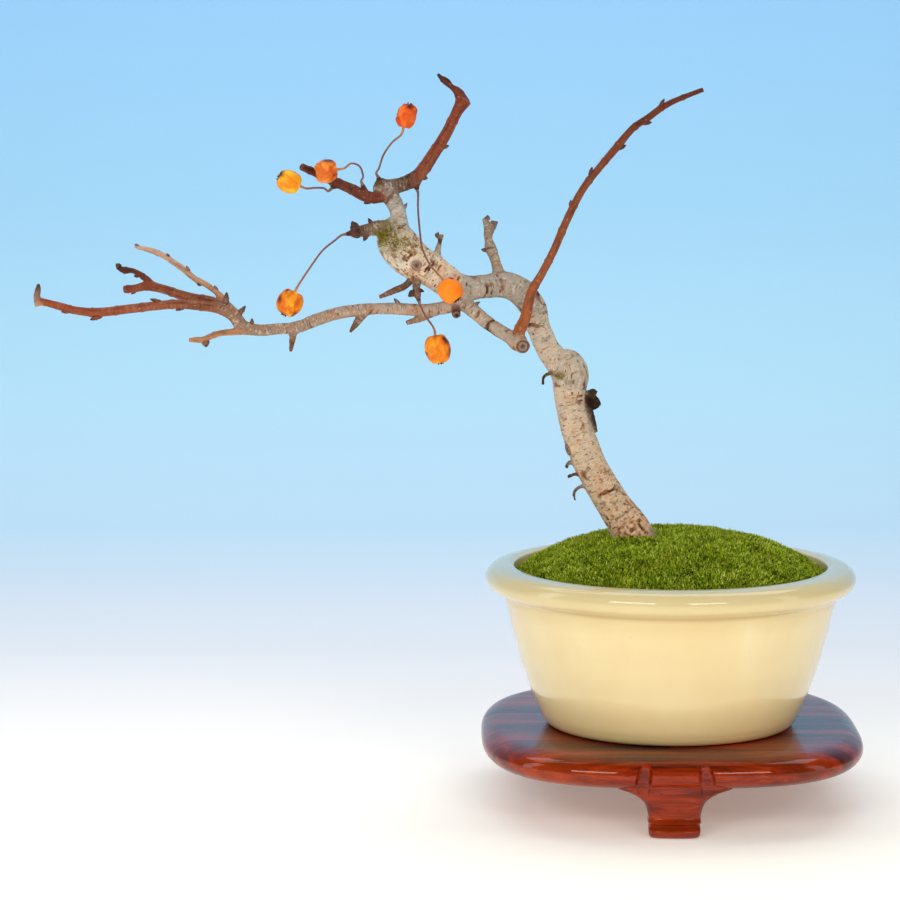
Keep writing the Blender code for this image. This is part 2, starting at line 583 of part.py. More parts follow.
def board_ring(inset, segments):
    """Points of the board's outline, drawn in by inset. It starts at the front."""
    ring = []
    for k in range(segments):
        turn = 2 * math.pi * k / segments
        wide = abs(math.sin(turn)) / (BOARD_HALF_WIDTH - inset)
        deep = abs(math.cos(turn)) / (BOARD_HALF_DEPTH - inset)
        reach = (wide**BOARD_SQUARENESS + deep**BOARD_SQUARENESS) ** (-1 / BOARD_SQUARENESS)
        ring.append((BOARD_MIDDLE.x + reach * math.sin(turn), BOARD_MIDDLE.y - reach * math.cos(turn)))
    return ring


def board_mesh():
    """The top with its bull-nosed edge."""
    half = BOARD_THICKNESS / 2
    section = [(NOSE + 31.0, half), (NOSE + 8.0, half), (NOSE, half - 0.1)]
    for degrees in (60, 32, 4, -24, -55):
        angle = math.radians(degrees)
        section.append((NOSE * (1 - math.cos(angle)), half * math.sin(angle)))
    section += [(NOSE + 2.0, -half), (NOSE + 31.0, -half)]
    bm = bmesh.new()
    rings = []
    for inset, height in section:
        z = STAND_HEIGHT - half + height
        rings.append([bm.verts.new((x, y, z)) for x, y in board_ring(inset, 56)])
    skin_rings(bm, rings)
    return mesh_from(bm, "board")


def place_foot(bm, foot):
    """Moves what was made at the front foot to a foot given by its turn and shift outward."""
    turn, shift = foot
    bm.transform(Matrix.Rotation(math.radians(turn), 4, "Z") @ Matrix.Translation((0, -shift, 0)))


def foot_mesh(foot):
    """A foot, lofted up from its sole: a scrolled toe, a narrow neck and a flare into the board."""
    levels = [  # z, width, inner radius, outer radius
        (0.0, SOLE_WIDTH - 2.0, 59.0, 69.0), (1.0, SOLE_WIDTH - 0.4, 58.0, 71.0),
        (3.2, SOLE_WIDTH, 57.5, 71.7), (4.9, SOLE_WIDTH - 0.3, 57.2, 69.8),
        (6.3, NECK_WIDTH, 57.0, 71.0), (8.0, NECK_WIDTH - 0.4, 56.6, 69.8),
        (12.0, NECK_WIDTH + 1.4, 55.8, 71.0), (14.5, NECK_WIDTH + 4.0, 55.0, 72.2),
        (16.6, NECK_WIDTH + 9.5, 53.5, 73.2), (18.3, NECK_WIDTH + 17.0, 52.0, 73.8),
        (20.0, NECK_WIDTH + 27.0, 50.5, 74.0), (24.0, NECK_WIDTH + 32.0, 50.0, 73.6),
    ]
    corners = 16
    bm = bmesh.new()
    rings = []
    for z, width, inner, outer in levels:
        ring = []
        for k in range(corners):
            a = 2 * math.pi * k / corners
            across = math.copysign(abs(math.cos(a)) ** 0.45, math.cos(a)) * width / 2
            depth = math.copysign(abs(math.sin(a)) ** 0.45, math.sin(a)) * (outer - inner) / 2
            bow = (outer + inner) / 2 + depth - across * across / 160
            ring.append(bm.verts.new((across, -bow, z)))
        rings.append(ring)
    skin_rings(bm, rings)
    place_foot(bm, foot)
    return mesh_from(bm, "foot")


def notch_mesh(foot, side):
    """A groove that runs over the board's edge beside a foot, from the top down to its neck."""
    across = side * (SOLE_WIDTH / 2 + 1.6)
    route = [
        (across * 0.96, -65.0, STAND_HEIGHT + 2.6, 2 * NOTCH_RADIUS),
        (across, -71.5, STAND_HEIGHT + 0.6, 2 * NOTCH_RADIUS),
        (across * 1.04, -76.2, STAND_HEIGHT - 4.5, 2 * NOTCH_RADIUS),
        (across * 1.02, -77.0, STAND_HEIGHT - 10.0, 2 * NOTCH_RADIUS),
        (across * 0.94, -75.5, STAND_HEIGHT - 17.5, 1.5 * NOTCH_RADIUS),
    ]
    bm = bmesh.new()
    add_tube(bm, route, 10, 3)
    place_foot(bm, foot)
    return mesh_from(bm, "notch")


def make_stand(material):
    """The stand is carved from one board, so its feet and top are one piece."""
    obj = united("stand", [board_mesh()] + [foot_mesh(foot) for foot in FEET], material)
    for foot in FEET:
        for side in (-1, 1):
            cut(obj, notch_mesh(foot, side))
    smooth(obj, 40)
    return obj


def centre_on_bottom(objects):
    """Hangs everything on one empty, moved so that the origin is below the middle of the whole."""
    bonsai = bpy.data.objects.new("bonsai", None)
    bpy.context.scene.collection.objects.link(bonsai)
    low = Vector((math.inf,) * 3)
    high = Vector((-math.inf,) * 3)
    for obj in objects:
        obj.parent = bonsai
        for vertex in obj.data.vertices:
            low = Vector(map(min, low, vertex.co))
            high = Vector(map(max, high, vertex.co))
    bonsai.location = (-(low.x + high.x) / 2, -(low.y + high.y) / 2, 0.0)


def main():
    for obj in list(bpy.data.objects):
        bpy.data.objects.remove(obj)
    rosewood = finish_material("lacquered_rosewood", (0.24, 0.035, 0.012), 0.2)
    glaze = finish_material("cream_glaze", (0.72, 0.62, 0.38), 0.12)
    bark = finish_material("crabapple_bark", (0.36, 0.25, 0.18), 0.75)
    stalk_skin = finish_material("dried_stalk", (0.2, 0.09, 0.05), 0.6)
    fruit_skin = finish_material("crabapple_skin", (0.9, 0.24, 0.02), 0.35)
    moss_green = finish_material("moss", (0.1, 0.24, 0.02), 0.95)
    soil_brown = finish_material("soil", (0.1, 0.06, 0.035), 0.95)
    net = finish_material("black_net", (0.02, 0.02, 0.02), 0.5)

    objects = [
        make_stand(rosewood), make_pot(glaze), make_drain_screen(net), make_soil(soil_brown),
        make_moss(moss_green), make_tree(bark),
    ]
    smooth(objects[-1], 45)
    for i, (fruit, spur, route) in enumerate(zip(FRUITS, FRUIT_SPURS, STALK_ROUTES), start=1):
        objects.append(make_fruit(f"crabapple_{i}", *fruit, i, fruit_skin))
        objects.append(make_stalk(f"stalk_{i}", spur, route, fruit, stalk_skin))
    centre_on_bottom(objects)


main()
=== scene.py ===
"""A small crabapple bonsai in winter, dressed for its portrait: grey-tan bark with ring cracks and
dark pits, glossy red-brown young twigs, wrinkled orange fruits on thin stalks, velvety moss, a
cream-glazed pot and a lacquered rosewood stand. Shapes are written in millimetres from the pot's
axis, with z = 0 at the stand's soles, and are turned to metres in the frame by mesh_object.
"""

import math

import bmesh
import bpy
import numpy as np
from mathutils import Matrix, Vector


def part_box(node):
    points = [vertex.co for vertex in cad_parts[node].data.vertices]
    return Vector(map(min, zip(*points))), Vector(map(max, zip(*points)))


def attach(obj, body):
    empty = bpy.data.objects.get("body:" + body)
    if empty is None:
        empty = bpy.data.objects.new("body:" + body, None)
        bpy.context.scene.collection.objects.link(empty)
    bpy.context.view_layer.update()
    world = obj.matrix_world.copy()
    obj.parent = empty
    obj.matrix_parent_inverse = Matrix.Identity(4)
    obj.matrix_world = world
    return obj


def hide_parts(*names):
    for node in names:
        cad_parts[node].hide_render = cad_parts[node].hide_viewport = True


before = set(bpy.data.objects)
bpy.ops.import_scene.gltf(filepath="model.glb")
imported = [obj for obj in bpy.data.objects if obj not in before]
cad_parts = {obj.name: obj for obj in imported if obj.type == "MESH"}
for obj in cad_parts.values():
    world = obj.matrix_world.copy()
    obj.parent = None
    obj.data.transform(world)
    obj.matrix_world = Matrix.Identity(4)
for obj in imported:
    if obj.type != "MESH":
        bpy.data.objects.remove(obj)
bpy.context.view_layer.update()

# Camera
# The long lens looks down a little from straight in front of the tree, as the photograph was
# taken. The middle of the pot's box is the axis that every shape below is measured from.
MM = 0.001
CAMERA_PLACE = (-89.6, -1405.8, 323.2)
CAMERA_DOWN = 7.25
LENS = 139.9
pot_low, pot_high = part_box("pot")
AXIS = (pot_low + pot_high) / 2
AXIS.z = 0.0


def add_object(name, data):
    obj = bpy.data.objects.new(name, data)
    bpy.context.scene.collection.objects.link(obj)
    return obj


camera = add_object("camera", bpy.data.cameras.new("camera"))
camera.location = AXIS + Vector(CAMERA_PLACE) * MM
camera.rotation_euler = (math.radians(90 - CAMERA_DOWN), 0.0, 0.0)
camera.data.sensor_width = 36.0
camera.data.lens = LENS
camera.data.clip_start = 0.01
bpy.context.scene.camera = camera
bpy.context.scene.view_settings.view_transform = "Standard"


# Floor and backdrop
# One sweep of matt paper that rises behind the bonsai, nearly white on the table and pale blue
# higher up, extruded from a line with a round bend. The table part glows a little and warm, painted
# light that lifts the shadows under the stand. Its back is clear, for views from behind.
SWEEP_REACH = 2500.0
SWEEP_WALL = 900.0
SWEEP_BEND = 350.0
SWEEP_TOP = 1800.0
TABLE_GLOW = 0.24


def linear(hex_colour):
    """A colour from sRGB hex to the linear values that shaders use."""
    channels = [int(hex_colour[i : i + 2], 16) / 255 for i in (1, 3, 5)]
    return (*[c / 12.92 if c <= 0.04045 else ((c + 0.055) / 1.055) ** 2.4 for c in channels], 1.0)


def find_input(node, name):
    """The input with this name, written in small letters with underlines."""
    return next(s for s in node.inputs if s.enabled and s.name.lower().replace(" ", "_") == name)


def add_node(kind, settings=None, tree=None, **inputs):
    """Adds a node beside those that feed it, sets its properties, and fills or links its inputs.
    An input called input_0 is the first one."""
    tree = tree or next(v.id_data for v in inputs.values() if isinstance(v, bpy.types.NodeSocket))
    node = tree.nodes.new(kind)
    for name, value in (settings or {}).items():
        setattr(node, name, value)
    for name, value in inputs.items():
        socket = node.inputs[int(name[6:])] if name.startswith("input_") else find_input(node, name)
        if isinstance(value, bpy.types.NodeSocket):
            tree.links.new(value, socket)
        else:
            socket.default_value = linear(value) if isinstance(value, str) else value
    return node


def attribute(material, name, output="Fac"):
    """Reads what store keeps for each point under this name."""
    return add_node("ShaderNodeAttribute", {"attribute_name": name}, material.node_tree).outputs[output]


def ramp(factor, stops):
    """A colour ramp through (position, hex colour) stops."""
    node = add_node("ShaderNodeValToRGB", fac=factor)
    elements = node.color_ramp.elements
    while len(elements) < len(stops):
        elements.new(0.5)
    for element, (position, colour) in zip(elements, stops):
        element.position = position
        element.color = linear(colour)
    return node.outputs["Color"]


def span(value, low, high, to_low=0.0, to_high=1.0):
    """Takes a value from the range low to high over to another range, clamped."""
    return add_node(
        "ShaderNodeMapRange", value=value, from_min=low, from_max=high, to_min=to_low, to_max=to_high,
    ).outputs["Result"]


def noise(where, width, detail=3.0, roughness=0.5, distortion=0.0):
    """Noise whose features are about width wide, in the units of where."""
    return add_node(
        "ShaderNodeTexNoise", vector=where, scale=1.0 / width, detail=detail, roughness=roughness,
        distortion=distortion,
    ).outputs["Fac"]


def stretch(where, x, y, z):
    """Scales a place by a factor along each axis."""
    return add_node("ShaderNodeMapping", vector=where, scale=(x, y, z)).outputs["Vector"]


def mix(factor, first, second, blend="MIX"):
    """Mixes two colours, or darkens the first by the second where blend is MULTIPLY."""
    settings = {"data_type": "RGBA", "blend_type": blend}
    return add_node("ShaderNodeMix", settings, input_0=factor, input_6=first, input_7=second).outputs[2]


def calculate(operation, first, second):
    return add_node("ShaderNodeMath", {"operation": operation}, input_0=first, input_1=second).outputs[0]


def multiply(first, second):
    return calculate("MULTIPLY", first, second)


def height_of(place):
    return add_node("ShaderNodeSeparateXYZ", vector=place).outputs["Z"]


def new_material(name, **shader_inputs):
    """A material with a Principled shader. Gives the material and its place in millimetres."""
    material = bpy.data.materials.new(name)
    material.use_nodes = True
    shader = material.node_tree.nodes["Principled BSDF"]
    for key, value in shader_inputs.items():
        find_input(shader, key).default_value = value
    coordinates = add_node("ShaderNodeTexCoord", tree=material.node_tree)
    return material, stretch(coordinates.outputs["Object"], 1 / MM, 1 / MM, 1 / MM)


def shade(material, colour, height=None, depth_mm=0.1, strength=1.0, roughness=None):
    """Links colour, a bump height of depth_mm and roughness to the Principled shader."""
    links = material.node_tree.links
    shader = material.node_tree.nodes["Principled BSDF"]
    links.new(colour, shader.inputs["Base Color"])
    if height is not None:
        bump = add_node("ShaderNodeBump", height=height, distance=depth_mm * MM, strength=strength)
        links.new(bump.outputs["Normal"], shader.inputs["Normal"])
    if roughness is not None:
        links.new(roughness, shader.inputs["Roughness"])


def mesh_object(name, points, faces, material, smooth_angle=None):
    """A mesh from points in millimetres about the pot's axis."""
    data = bpy.data.meshes.new(name)
    data.from_pydata(np.asarray(points, float) * MM + np.array(AXIS), [], faces)
    data.materials.append(material)
    data.shade_smooth()
    if smooth_angle is not None:
        data.set_sharp_from_angle(angle=math.radians(smooth_angle))
    return add_object(name, data)


def store(obj, name, values):
    """Keeps a number, a vector or a colour for each point, for the material to read."""
    values = np.asarray(values, np.float32)
    kinds = {1: ("FLOAT", "value"), 3: ("FLOAT_VECTOR", "vector"), 4: ("FLOAT_COLOR", "color")}
    kind, field = kinds[values.size // len(obj.data.vertices)]
    obj.data.attributes.new(name, kind, "POINT").data.foreach_set(field, values.ravel())


def dress(obj, slot, *nodes):
    """The piece rides on the root body and stands for CAD nodes, which it hides. The slot is not used."""
    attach(obj, "root")
    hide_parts(*nodes)


def circle(columns):
    """Angles evenly round a full turn."""
    return 2 * np.pi * np.arange(columns) / columns


def grid_faces(rows, columns, closed_rows=False, closed_columns=True):
    """Quads of a grid whose points are listed row by row."""
    row = np.arange(rows if closed_rows else rows - 1)[:, None]
    column = np.arange(columns if closed_columns else columns - 1)[None, :]
    here = row * columns + column
    right = row * columns + (column + 1) % columns
    up = ((row + 1) % rows) * columns
    quads = np.stack([here, right, up + (column + 1) % columns, up + column], axis=-1)
    return quads.reshape(-1, 4).tolist()


def capped_faces(rows, columns):
    """Quads of a tube whose points are listed ring by ring, and a flat cap at each end."""
    last = (rows - 1) * columns
    return grid_faces(rows, columns) + [list(range(columns))[::-1], list(range(last, last + columns))]


def make_sweep():
    material, place = new_material("white_paper", roughness=0.9, specular_ior_level=0.1)
    parts = add_node("ShaderNodeSeparateXYZ", vector=place)
    rise = calculate("ADD", multiply(parts.outputs["Y"], 0.15), parts.outputs["Z"])
    shade(material, ramp(span(rise, 0.0, 460.0), [
        (0.0, "#FBF8F2"), (0.065, "#F6F0EE"), (0.157, "#E9ECF2"), (0.243, "#C9E4F4"), (0.435, "#B9E1F4"),
        (0.7, "#A6D5F1"), (1.0, "#9BCCF2"),
    ]))
    tree = material.node_tree
    shader = tree.nodes["Principled BSDF"]
    # Painted light: the table part of the paper glows warm, TABLE_GLOW at the bottom and fading out by a rise
    # of 50 mm, to lift the shadows under the stand.
    shader.inputs["Emission Color"].default_value = linear("#FFEEDC")
    tree.links.new(span(rise, 0.0, 50.0, TABLE_GLOW, 0.0), shader.inputs["Emission Strength"])
    back = add_node("ShaderNodeNewGeometry", tree=tree).outputs["Backfacing"]
    clear = add_node("ShaderNodeBsdfTransparent", tree=tree).outputs["BSDF"]
    either = add_node("ShaderNodeMixShader", input_0=back, input_1=shader.outputs["BSDF"], input_2=clear)
    tree.links.new(either.outputs["Shader"], tree.nodes["Material Output"].inputs["Surface"])
    line = [(-SWEEP_REACH, 0.0)]
    for degrees in np.linspace(0, 90, 13):
        turn = math.radians(degrees)
        line.append((SWEEP_WALL - SWEEP_BEND * (1 - math.sin(turn)), SWEEP_BEND * (1 - math.cos(turn))))
    line.append((SWEEP_WALL, SWEEP_TOP))
    points = [(x, y, z) for y, z in line for x in (-SWEEP_REACH, SWEEP_REACH)]
    sweep = mesh_object("paper_sweep", points, grid_faces(len(line), 2, False, False), material)
    if sweep.data.polygons[0].normal.z < 0:
        sweep.data.flip_normals()


make_sweep()


# Lights
# Two wide soft boxes above the camera draw the highlights on glaze and lacquer, a narrow one each
# side and a broad one behind lift the edges, and a low fill and a pale sky open up the shadows.
def soft_box(name, place, target, width, height, watts, colour, shiny=True):
    """An area lamp aimed at a target. Where it isn't shiny, no reflection shows it."""
    light = bpy.data.lights.new(name, "AREA")
    light.shape = "RECTANGLE"
    light.size = width * MM
    light.size_y = height * MM
    light.energy = watts
    light.color = linear(colour)[:3]
    obj = add_object(name, light)
    obj.visible_glossy = shiny
    obj.location = AXIS + Vector(place) * MM
    obj.rotation_euler = (Vector(place) - Vector(target)).to_track_quat("Z", "Y").to_euler()


soft_box("left_key", (-600, -1200, 700), (-40, 0, 110), 700, 320, 5.5, "#FFF8F0")
soft_box("right_key", (460, -1250, 700), (-20, 0, 110), 560, 320, 3.9, "#FFF8F0")
soft_box("right_light", (850, -250, 320), (0, 0, 60), 200, 700, 0.7, "#FFFFFF")
soft_box("left_light", (-900, -100, 380), (0, 0, 80), 200, 800, 1.3, "#F2FAFF")
soft_box("low_fill", (0, -1600, 200), (-40, 0, 60), 1300, 260, 4.4, "#FFFFFF", False)
soft_box("back_light", (-60, 350, 1000), (-60, 400, 0), 1500, 500, 5.6, "#FFFCF8")

world = bpy.data.worlds.new("pale_sky")
bpy.context.scene.world = world
world.use_nodes = True
sky = world.node_tree.nodes["Background"]
sky.inputs["Color"].default_value = linear("#E4F3FC")
sky.inputs["Strength"].default_value = 0.37
world.cycles_visibility.glossy = False


# Stand
# Rosewood under clear lacquer: a board with round corners, bowed sides and a bull-nosed edge, and
# three scroll feet with a carved groove each side. Lofted finely, joined, and the grooves cut out.
BOARD_MIDDLE = (0.8, 8.0)
BOARD_HALF_WIDTH = 77.5
BOARD_HALF_DEPTH = 83.0
BOARD_SQUARENESS = 3.0
STAND_HEIGHT = 32.0
BOARD_THICKNESS = 12.5
NOSE = 9.0
FLAT_WIDTH = 51.0
NOSE_EDGE = 0.06
FEET = [(-1.5, 0.0), (142.0, 19.0), (-142.0, 19.0)]  # turn in degrees, shift outward
SOLE_WIDTH = 20.5
NECK_WIDTH = 21.0
NOTCH_RADIUS = 2.9


def smooth_route(points, steps):
    """Catmull-Rom points through rows of numbers, with steps to each span."""
    rows = np.asarray(points, float)
    last = len(rows) - 1
    t = np.arange(steps)[:, None] / steps
    weights = (
        -0.5 * t + t * t - 0.5 * t**3,
        1 - 2.5 * t * t + 1.5 * t**3,
        0.5 * t + 2 * t * t - 1.5 * t**3,
        -0.5 * t * t + 0.5 * t**3,
    )
    spans = []
    for i in range(last):
        near = (rows[max(i - 1, 0)], rows[i], rows[i + 1], rows[min(i + 2, last)])
        spans.append(sum(w * p for w, p in zip(weights, near)))
    return np.vstack([*spans, rows[-1:]])


def path_frames(middles):
    """Direction, side and up at each point of a path, turned as little as possible on the way."""
    ahead = np.gradient(middles, axis=0)
    ahead /= np.linalg.norm(ahead, axis=1)[:, None]
    side = np.array((0.0, -1.0, 0.0))
    sides = []
    for direction in ahead:
        side = side - direction * side.dot(direction)
        side = side / np.linalg.norm(side)
        sides.append(side)
    sides = np.array(sides)
    return ahead, sides, np.cross(ahead, sides)


def tube(route, sides):
    """Points and faces of a closed tube along rows of (x, y, z, diameter)."""
    middles, radii = route[:, :3], route[:, 3] / 2
    _, side, up = path_frames(middles)
    turn = circle(sides)[None, :, None]
    around = np.cos(turn) * side[:, None] + np.sin(turn) * up[:, None]
    points = middles[:, None] + around * radii[:, None, None]
    return points.reshape(-1, 3), capped_faces(len(route), sides)


def join_solids(solids):
    """One list of points and one of faces from many."""
    points, faces, count = [], [], 0
    for some_points, some_faces in solids:
        points.append(np.asarray(some_points))
        faces += [[i + count for i in face] for face in some_faces]
        count += len(some_points)
    return np.vstack(points), faces


def solid_object(name, points, faces, material, smooth_angle=None):
    """A closed mesh whose faces all look outward."""
    obj = mesh_object(name, points, faces, material, smooth_angle)
    bm = bmesh.new()
    bm.from_mesh(obj.data)
    bmesh.ops.recalc_face_normals(bm, faces=bm.faces)
    bm.to_mesh(obj.data)
    bm.free()
    return obj


def apply_modifiers(obj):
    graph = bpy.context.evaluated_depsgraph_get()
    data = bpy.data.meshes.new_from_object(obj.evaluated_get(graph))
    obj.modifiers.clear()
    obj.data = data


def boolean(obj, other, operation):
    """Joins a solid to the object or cuts it out, and removes the other solid."""
    modifier = obj.modifiers.new("boolean", "BOOLEAN")
    modifier.object = other
    modifier.operation = operation
    modifier.solver = "EXACT"
    apply_modifiers(obj)
    bpy.data.objects.remove(other)


def board_solid():
    half = BOARD_THICKNESS / 2
    nose_half = half - NOSE_EDGE
    section = [(NOSE + FLAT_WIDTH, half), (NOSE + 4.0, half), (NOSE, nose_half)]
    for degrees in range(80, -81, -8):
        angle = math.radians(degrees)
        section.append((NOSE * (1 - math.cos(angle)), nose_half * math.sin(angle)))
    section += [(NOSE + 2.0, -half), (NOSE + FLAT_WIDTH, -half)]
    columns = 260
    turn = circle(columns)
    rows = []
    for inset, height in section:
        wide = np.abs(np.sin(turn)) / (BOARD_HALF_WIDTH - inset)
        deep = np.abs(np.cos(turn)) / (BOARD_HALF_DEPTH - inset)
        reach = (wide**BOARD_SQUARENESS + deep**BOARD_SQUARENESS) ** (-1 / BOARD_SQUARENESS)
        x = BOARD_MIDDLE[0] + reach * np.sin(turn)
        y = BOARD_MIDDLE[1] - reach * np.cos(turn)
        rows.append(np.stack([x, y, np.full_like(x, STAND_HEIGHT - half + height)], axis=1))
    return np.vstack(rows), capped_faces(len(section), columns)


def at_foot(points, foot):
    """Moves what was made at the front to a foot given by its turn and its shift outward."""
    turn, shift = foot
    return (points - np.array((0.0, shift, 0.0))) @ np.array(Matrix.Rotation(math.radians(turn), 3, "Z")).T


def foot_solid(foot):
    levels = smooth_route(
        [  # z, width, inner radius, outer radius
            (0.0, SOLE_WIDTH - 2.0, 59.0, 69.0), (1.0, SOLE_WIDTH - 0.4, 58.0, 71.0),
            (3.2, SOLE_WIDTH, 57.5, 71.7), (4.9, SOLE_WIDTH - 0.3, 57.2, 69.6),
            (6.3, NECK_WIDTH, 57.0, 71.2), (8.0, NECK_WIDTH - 0.4, 56.6, 69.6),
            (12.0, NECK_WIDTH + 1.4, 55.8, 71.0), (14.5, NECK_WIDTH + 4.0, 55.0, 72.2),
            (16.6, NECK_WIDTH + 9.5, 53.5, 73.2), (18.3, NECK_WIDTH + 17.0, 52.0, 73.8),
            (20.0, NECK_WIDTH + 27.0, 50.5, 74.0), (24.0, NECK_WIDTH + 32.0, 50.0, 73.6),
        ],
        5,
    )
    columns = 56
    squareness = 0.4
    corner = circle(columns)
    squared = [np.sign(f(corner)) * np.abs(f(corner)) ** squareness for f in (np.cos, np.sin)]
    rows = []
    for z, width, inner, outer in levels:
        across = squared[0] * width / 2
        bow = (outer + inner) / 2 + squared[1] * (outer - inner) / 2 - across * across / 160
        rows.append(np.stack([across, -bow, np.full_like(across, z)], axis=1))
    return at_foot(np.vstack(rows), foot), capped_faces(len(levels), columns)


def notch_solid(foot, side):
    across = side * (SOLE_WIDTH / 2 + 1.6)
    route = smooth_route(
        [
            (across * 0.94, -72.4, STAND_HEIGHT + 0.6, 2.6),
            (across * 0.98, -74.6, STAND_HEIGHT - 3.0, 1.8 * NOTCH_RADIUS),
            (across * 1.05, -75.2, STAND_HEIGHT - 8.5, 2.3 * NOTCH_RADIUS),
            (across * 1.12, -74.4, STAND_HEIGHT - 14.0, 2.2 * NOTCH_RADIUS),
            (across * 1.12, -72.8, STAND_HEIGHT - 18.5, 1.5 * NOTCH_RADIUS),
            (across * 1.04, -72.6, STAND_HEIGHT - 21.5, 1.6),
        ],
        8,
    )
    points, faces = tube(route, 24)
    return at_foot(points, foot), faces


def rosewood():
    """Red-brown wood with dark streaks along X, fine pores, and a deep clear lacquer."""
    material, place = new_material(
        "lacquered_rosewood", roughness=0.45, specular_ior_level=0.04, coat_weight=0.65, coat_roughness=0.03,
    )
    bands = noise(stretch(place, 0.05, 1.0, 1.0), 7.0, 4.0, 0.6, 0.6)
    fine = noise(stretch(place, 0.06, 1.0, 1.0), 0.9, 3.0, 0.6)
    broad = noise(stretch(place, 0.4, 1.0, 1.0), 26.0, 2.0)
    pore = span(noise(stretch(place, 0.14, 1.0, 1.0), 0.32, 2.0), 0.64, 0.7)
    colour = ramp(bands, [
        (0.28, "#1A0300"), (0.42, "#400A01"), (0.52, "#701703"), (0.62, "#A03005"), (0.76, "#460C02"),
    ])
    colour = mix(span(fine, 0.35, 0.7, 0.0, 0.5), colour, "#3C0C04")
    colour = mix(span(broad, 0.4, 0.7, 0.0, 0.4), colour, "#C8480A")
    colour = mix(multiply(pore, 0.7), colour, "#1E0703")
    shade(material, colour, calculate("SUBTRACT", noise(place, 9.0, 2.0), multiply(pore, 0.5)), 0.25, 0.5)
    return material


def make_stand():
    material = rosewood()
    stand = solid_object("rosewood_stand", *board_solid(), material)
    for foot in FEET:
        boolean(stand, solid_object("foot", *foot_solid(foot), material), "UNION")
    for foot in FEET:
        for side in (-1, 1):
            boolean(stand, solid_object("notch", *notch_solid(foot, side), material), "DIFFERENCE")
    stand.data.shade_smooth()
    stand.data.set_sharp_from_angle(angle=math.radians(38))
    dress(stand, "lacquered_rosewood", "stand")


make_stand()


# Pot
# Stoneware under a glossy cream glaze, turned from its outline. The hand leaves faint ripples on
# the wall, and the glaze is greener over the lip. A band of painted shade lies under the lip, and a
# painted reflection of the stand darkens the wall towards the foot.
POT_BASE_Z = STAND_HEIGHT + 0.3
RIM_RADIUS = 75.0
BEAD_RADIUS = 6.0
OPENING_RADIUS = 63.3
POT_HEIGHT = 65.8
DRAIN_RADIUS = 9.0
RIPPLE = 0.09


def lattice_noise(points, seed=0):
    """Smooth noise from -1 to 1, one value for each point, with features about one unit wide."""
    cell = np.floor(points)
    part = points - cell
    part = part * part * (3 - 2 * part)
    total = np.zeros(len(points))
    for corner in np.ndindex(2, 2, 2):
        place = cell + corner
        hashed = np.sin(place @ np.array((127.1, 311.7, 74.7)) + seed * 53.3) * 43758.5453
        weight = np.prod(np.where(corner, part, 1 - part), axis=1)
        total += weight * (hashed - np.floor(hashed))
    return 2 * total - 1


def fractal(points, width, octaves=3, seed=0):
    """Layers of noise, the widest of them width across, adding up to about -1 to 1."""
    total = 0.0
    for k in range(octaves):
        total = total + lattice_noise(points * (2.03**k / width), seed + k) * 0.55**k
    return total * 0.6


def glaze():
    material, place = new_material(
        "cream_glaze", roughness=0.3, coat_weight=0.9, coat_roughness=0.03, specular_ior_level=0.1,
    )
    height = calculate("SUBTRACT", height_of(place), POT_BASE_Z)
    wash = noise(stretch(place, 1.0, 1.0, 0.45), 30.0, 3.0, 0.55)
    colour = ramp(wash, [(0.3, "#E6CD97"), (0.5, "#E9D29D"), (0.7, "#ECD8A6")])
    # Painted reflection of the stand: the wall is darker and yellower towards the foot.
    colour = mix(span(height, 0.0, 14.0, 0.55, 0.0), colour, "#D2B06A")
    # Painted shade: a darker band on the wall just under the lip.
    painted_shade_under_lip = multiply(span(height, 46.0, 54.0, 0.0, 0.3), span(height, 57.0, 55.0))
    colour = mix(painted_shade_under_lip, colour, "#C0A25E")
    colour = mix(span(height, 55.5, 61.0, 0.0, 0.6), colour, "#C6B684")
    colour = mix(span(noise(place, 0.8, 2.0), 0.72, 0.78, 0.0, 0.35), colour, "#A88F58")
    shade(material, colour, noise(place, 5.0, 3.0), 0.18, 0.5)
    return material


def make_pot():
    bead = []
    for degrees in range(-50, 71, 10):
        angle = math.radians(degrees)
        bead.append((RIM_RADIUS - BEAD_RADIUS * (1 - math.cos(angle)), 60.2 + 5.2 * math.sin(angle)))
    outer = smooth_route([
        (50.4, 1.2), (52.2, 4.0), (56.6, 14.2), (60.3, 25.2), (63.8, 37.5), (66.8, 50.0), (68.0, 53.6),
        (70.2, 55.0),
    ], 10)
    inner = smooth_route([
        (66.4, POT_HEIGHT), (64.4, POT_HEIGHT - 0.6), (OPENING_RADIUS, POT_HEIGHT - 2.2), (62.3, 50.0),
        (59.6, 37.5), (55.4, 24.0), (49.4, 13.0), (43.0, 7.2), (38.0, 6.5),
    ], 6)
    foot = [(DRAIN_RADIUS, 2.5), (41.0, 2.5), (43.0, 0.3), (43.5, 0.0), (48.0, 0.0), (49.2, 0.3)]
    outline = np.vstack([foot, outer, bead, inner, [(DRAIN_RADIUS, 6.5)]])
    columns = 200
    turn = circle(columns)
    r, z = outline[:, :1], outline[:, 1:]
    out_of_round = 1 + 0.0016 * np.cos(2 * turn + 0.6) + 0.0008 * np.cos(3 * turn)
    ripple = RIPPLE * np.sin(z / 1.9 + 0.7 * np.sin(turn)) * ((r > 50) & (z < 52) & (z > 4))
    radius = (r + ripple) * out_of_round
    points = np.stack([radius * np.cos(turn), radius * np.sin(turn), z + POT_BASE_Z + 0 * turn], axis=-1)
    faces = grid_faces(len(outline), columns, closed_rows=True)
    dress(solid_object("glazed_pot", points.reshape(-1, 3), faces, glaze(), 62), "cream_glaze", "pot")


make_pot()


